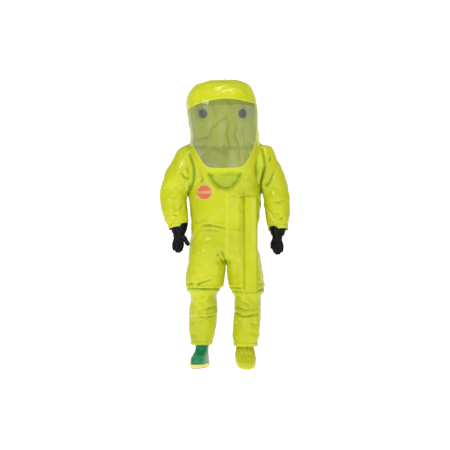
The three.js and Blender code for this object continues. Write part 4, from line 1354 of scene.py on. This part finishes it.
# ---------------------------------------------------------------- materials
class Finish:
    """A procedural material under construction, placed by the object's own frame, so it needs no UVs."""

    def __init__(self, name, roughness=0.5, metallic=0.0):
        self.material = bpy.data.materials.new(name)
        self.material.use_nodes = True
        self.tree = self.material.node_tree
        self.shader = self.tree.nodes["Principled BSDF"]
        self.shader.inputs["Roughness"].default_value = roughness
        self.shader.inputs["Metallic"].default_value = metallic
        self.place = self.node("TexCoord").outputs["Object"]
        self.height = None

    def feed(self, socket, value):
        """Gives a socket a fixed value, or what another node puts out."""
        if isinstance(value, bpy.types.NodeSocket):
            self.tree.links.new(value, socket)
        else:
            socket.default_value = value

    def node(self, kind, *inputs):
        """A new node, with pairs of a socket's name or number and what it is fed."""
        made = self.tree.nodes.new("ShaderNode" + kind)
        for socket, value in inputs:
            self.feed(made.inputs[socket], value)
        return made

    def set(self, socket, value):
        self.feed(self.shader.inputs[socket], value)

    def noise(self, scale, detail=4.0, stretch=(1, 1, 1)):
        """A noise between 0 and 1, finer for a larger scale and longer where stretch is small."""
        spread = self.node("Mapping", ("Scale", stretch), ("Vector", self.place)).outputs["Vector"]
        return self.node("TexNoise", ("Scale", scale), ("Detail", detail), ("Vector", spread)).outputs["Fac"]

    def weave(self, pitch):
        """Threads that cross, a pitch apart."""
        waves = []
        for direction in ("X", "Z"):
            wave = self.node("TexWave", ("Scale", 0.314 / pitch), ("Distortion", 0.4), ("Vector", self.place))
            wave.bands_direction = direction
            waves.append(wave.outputs["Fac"])
        return self.math("MULTIPLY", *waves)

    def level(self):
        """The height above the floor."""
        return self.node("SeparateXYZ", ("Vector", self.place)).outputs["Z"]

    def math(self, operation, first, second):
        made = self.node("Math", (0, first), (1, second))
        made.operation = operation
        return made.outputs["Value"]

    def ramp(self, factor, low, high, ends=(0.35, 0.65)):
        """Colours or values from low to high as factor goes between its two ends."""
        made = self.node("ValToRGB", ("Fac", factor))
        for element, position, value in zip(made.color_ramp.elements, ends, (low, high)):
            element.position = position
            element.color = (*value, 1) if isinstance(value, tuple) else (value, value, value, 1)
        return made.outputs["Color"]

    def blended(self, first, second, share):
        """A colour output mixed with a fixed colour."""
        made = self.tree.nodes.new("ShaderNodeMix")
        made.data_type = "RGBA"
        for socket, value in ((0, share), (6, first), (7, (*second, 1))):
            self.feed(made.inputs[socket], value)
        return made.outputs[2]

    def surface(self, first, second, share):
        """Makes the surface a mix of two shaders, by the share of the second."""
        mix = self.node("MixShader", ("Fac", share), (1, first), (2, second))
        self.feed(self.tree.nodes["Material Output"].inputs["Surface"], mix.outputs["Shader"])

    def bump(self, height, reach):
        """Adds a relief, reach metres high, over the one before."""
        made = self.node("Bump", ("Strength", 1.0), ("Distance", reach), ("Height", height))
        if self.height:
            self.feed(made.inputs["Normal"], self.height)
        self.height = made.outputs["Normal"]
        self.set("Normal", self.height)

    def coat(self, weight, roughness):
        self.set("Coat Weight", weight)
        self.set("Coat Roughness", roughness)

    def paint(self, shade, bright, scale):
        """Colours that vary softly between two."""
        self.set("Base Color", self.ramp(self.noise(scale), shade, bright))

    def dull(self, roughness, more, *pattern):
        """A roughness that varies upwards by a pattern of noise."""
        self.set("Roughness", self.ramp(self.noise(*pattern), roughness, roughness + more))


def film(name, shade, bright, roughness):
    """A coated, slightly crinkled barrier film over a fine scrim, with painted shade: a darker green deep in
    its folds and over the bib.
    """
    finish = Finish(name)
    # painted shade: the fold mask mixes the darker fold green into the film's colour
    painted_fold_shade = finish.node("Attribute")
    painted_fold_shade.attribute_name = "painted_fold_shade"
    sunk = finish.math("MULTIPLY", painted_fold_shade.outputs["Fac"], 0.75)
    colour = finish.blended(finish.ramp(finish.noise(3.5), shade, bright), FOLD_SHADE_GREEN, sunk)
    finish.set("Base Color", colour)
    finish.dull(roughness, 0.12, 40)
    finish.bump(finish.noise(26, 6, (1, 1, 1.6)), 0.0030)
    finish.bump(finish.noise(90, 5), 0.0005)
    finish.bump(finish.weave(0.0012), 0.00004)
    finish.coat(0.40, 0.08)
    finish.set("Specular IOR Level", 0.15)
    through = finish.node("BsdfTranslucent", ("Color", colour))
    finish.surface(finish.shader.outputs["BSDF"], through.outputs["BSDF"], 0.2)
    return finish.material


def lime_fabric():
    return film("lime_film", (0.560, 0.610, 0.012), (0.700, 0.735, 0.020), 0.30)


def lime_tape():
    return film("lime_seam_tape", (0.640, 0.690, 0.030), (0.740, 0.770, 0.045), 0.24)


def rubber(name, shade, bright, roughness, grain=0.0004, gloss=0.4):
    """Smooth moulded rubber or PVC with faint orange peel and scuffs."""
    finish = Finish(name)
    finish.paint(shade, bright, 18)
    finish.dull(roughness, 0.18, 55)
    finish.bump(finish.noise(140, 3), grain)
    finish.bump(finish.noise(30, 4), grain * 3)
    finish.coat(gloss, 0.12)
    finish.set("Specular IOR Level", 0.06)
    return finish.material


def moulded(name, shade, bright, roughness=0.42):
    """Injection-moulded plastic with a fine spark texture."""
    finish = Finish(name)
    finish.paint(shade, bright, 30)
    finish.dull(roughness, 0.15, 80)
    finish.bump(finish.noise(900, 2), 0.00015)
    return finish.material


def metal(name, shade, bright, roughness):
    """Drawn metal with fine scratches along it."""
    finish = Finish(name, metallic=1.0)
    finish.paint(shade, bright, 60)
    finish.dull(roughness, 0.2, 120, 4, (1, 1, 0.15))
    finish.bump(finish.noise(500, 3, (1, 1, 0.1)), 0.0001)
    return finish.material


def woven(name, shade, bright, pitch):
    """Woven webbing or tape, with threads that cross."""
    finish = Finish(name, roughness=0.85)
    threads = finish.weave(pitch)
    finish.set("Base Color", finish.ramp(threads, shade, bright, (0.1, 0.8)))
    finish.bump(threads, pitch * 0.4)
    finish.bump(finish.noise(700, 2), 0.0002)
    finish.set("Sheen Weight", 0.3)
    return finish.material


def shield_laminate():
    """Clear film, grey-green from the side and doubled along its top, with soft streaky haze of painted
    reflection.
    """
    finish = Finish("shield_laminate", roughness=0.10)
    # painted reflection: stretched noise gives pale streaky haze that stands for the sheet's smudgy
    # reflections
    painted_reflection_streaks = finish.ramp(finish.noise(5, 3, (3.2, 3.2, 0.5)), 0.0, 1.0, (0.48, 0.70))
    finish.bump(finish.noise(9, 3, (2.2, 2.2, 0.6)), 0.004)
    finish.coat(1.0, 0.03)
    band = finish.ramp(finish.math("SUBTRACT", finish.level(), SHIELD_BAND), 0.0, 1.0, (0.0, 0.008))
    pale = finish.ramp(finish.noise(4), (0.50, 0.55, 0.46), (0.58, 0.62, 0.53))
    finish.set("Base Color", finish.blended(pale, (0.20, 0.27, 0.08), band))
    rim = finish.node("LayerWeight", ("Blend", 0.35)).outputs["Facing"]
    veil = 0.13
    for part, weight in ((rim, 0.42), (painted_reflection_streaks, 0.16), (band, 0.26)):
        veil = finish.math("ADD", finish.math("MULTIPLY", part, weight), veil)
    clear = finish.node("BsdfTransparent", ("Color", (0.93, 0.95, 0.88, 1)))
    finish.surface(clear.outputs["BSDF"], finish.shader.outputs["BSDF"], veil)
    return finish.material


def paper():
    """White backdrop paper that glows a little, so that it stays near white behind the suit."""
    finish = Finish("backdrop_paper", roughness=0.9)
    finish.paint((0.90, 0.90, 0.90), (0.92, 0.92, 0.92), 2)
    finish.set("Emission Color", (1, 1, 1, 1))
    finish.set("Emission Strength", 0.72)
    return finish.material


def label_print(bar_z):
    """Printed orange vinyl with a plain paler bar across its middle."""
    finish = Finish("label_print", roughness=0.45)
    gap = finish.math("ABSOLUTE", finish.math("SUBTRACT", finish.level(), bar_z), 0)
    ink = finish.math("ADD", gap, finish.math("MULTIPLY", finish.noise(60), 0.004))
    finish.set("Base Color", finish.ramp(ink, (0.66, 0.33, 0.15), (0.62, 0.13, 0.03), (0.0095, 0.0115)))
    finish.bump(finish.noise(300, 3), 0.0002)
    return finish.material


def label_border():
    finish = Finish("label_border", roughness=0.45)
    finish.paint((0.62, 0.42, 0.16), (0.68, 0.50, 0.22), 80)
    finish.bump(finish.noise(300, 3), 0.0002)
    return finish.material


def thread_finish():
    return woven("lime_thread", (0.50, 0.56, 0.02), (0.66, 0.70, 0.05), 0.0008)


def boot_green():
    return rubber("boot_green_pvc", (0.010, 0.200, 0.085), (0.018, 0.290, 0.130), 0.30)


def boot_sole_finish():
    """Pale yellow rubber that turns reddish brown along its lowest few millimetres."""
    finish = Finish("sole_rubber", roughness=0.6)
    ground_edge = finish.math("ADD", finish.level(), finish.math("MULTIPLY", finish.noise(70), 0.003))
    finish.set("Base Color", finish.ramp(ground_edge, (0.32, 0.11, 0.05), (0.80, 0.72, 0.22), (0.004, 0.0075)))
    finish.bump(finish.noise(220, 4), 0.0006)
    return finish.material


def cad_finishes():
    """The finishes of the CAD nodes that show as they are, by what their names start with."""
    black = moulded("black_moulding", (0.010, 0.011, 0.012), (0.022, 0.023, 0.025))
    brass = metal("brass", (0.55, 0.36, 0.10), (0.72, 0.52, 0.20), 0.28)
    webbing = woven("grey_webbing", (0.05, 0.055, 0.06), (0.16, 0.165, 0.17), 0.0020)
    hook = woven("grip_tape", (0.36, 0.40, 0.03), (0.58, 0.62, 0.08), 0.0011)
    return {
        "glove_ring": black,
        "glove_clamp": metal("clamp_steel", (0.42, 0.43, 0.45), (0.60, 0.61, 0.63), 0.25),
        "valve_disc": rubber("valve_rubber", (0.012, 0.012, 0.013), (0.03, 0.03, 0.032), 0.45),
        "valve_": black,
        "belt_buckle": black,
        "waist_belt": webbing,
        "hanging_loop": webbing,
        "zipper_tape": woven("zip_tape", (0.10, 0.11, 0.11), (0.22, 0.23, 0.23), 0.0012),
        "zipper_": brass,
        "flap_": hook,
    }


def dress_cad_nodes():
    """The CAD nodes that show as they are get a finish and softened edges."""
    finishes = cad_finishes()
    for name, node in frame["nodes"].items():
        if node.hide_render:
            continue
        start = next(start for start in finishes if name.startswith(start))
        node.data.materials.clear()
        node.data.materials.append(finishes[start])
        bevel = node.modifiers.new("bevel", "BEVEL")
        bevel.width = 0.0005
        bevel.segments = 2
        bevel.limit_method = "ANGLE"
        bevel.harden_normals = True


# ---------------------------------------------------------------- assembly
make_camera()
make_floor()
make_lights()
lime, tape = lime_fabric(), lime_tape()
cloth = make_coverall(lime, tape)
front = BVHTree.FromPolygons([tuple(p) for p in cloth.places], cloth.faces)
black_rubber = rubber("glove_rubber", (0.001, 0.001, 0.0015), (0.004, 0.004, 0.006), 0.25, gloss=0.16)
make_shield(tape)
make_bib_piping(front, tape)
make_label(front)
make_storm_flap(front, lime)
make_placket(lime)
make_zip_teeth(metal("zip_brass", (0.50, 0.33, 0.10), (0.68, 0.50, 0.20), 0.30))
make_boot()
make_sock(lime)
make_gathered_sock(lime)
for side in SIDES:
    make_glove(side, black_rubber)
    make_valve_cover(side, lime)
dress_cad_nodes()
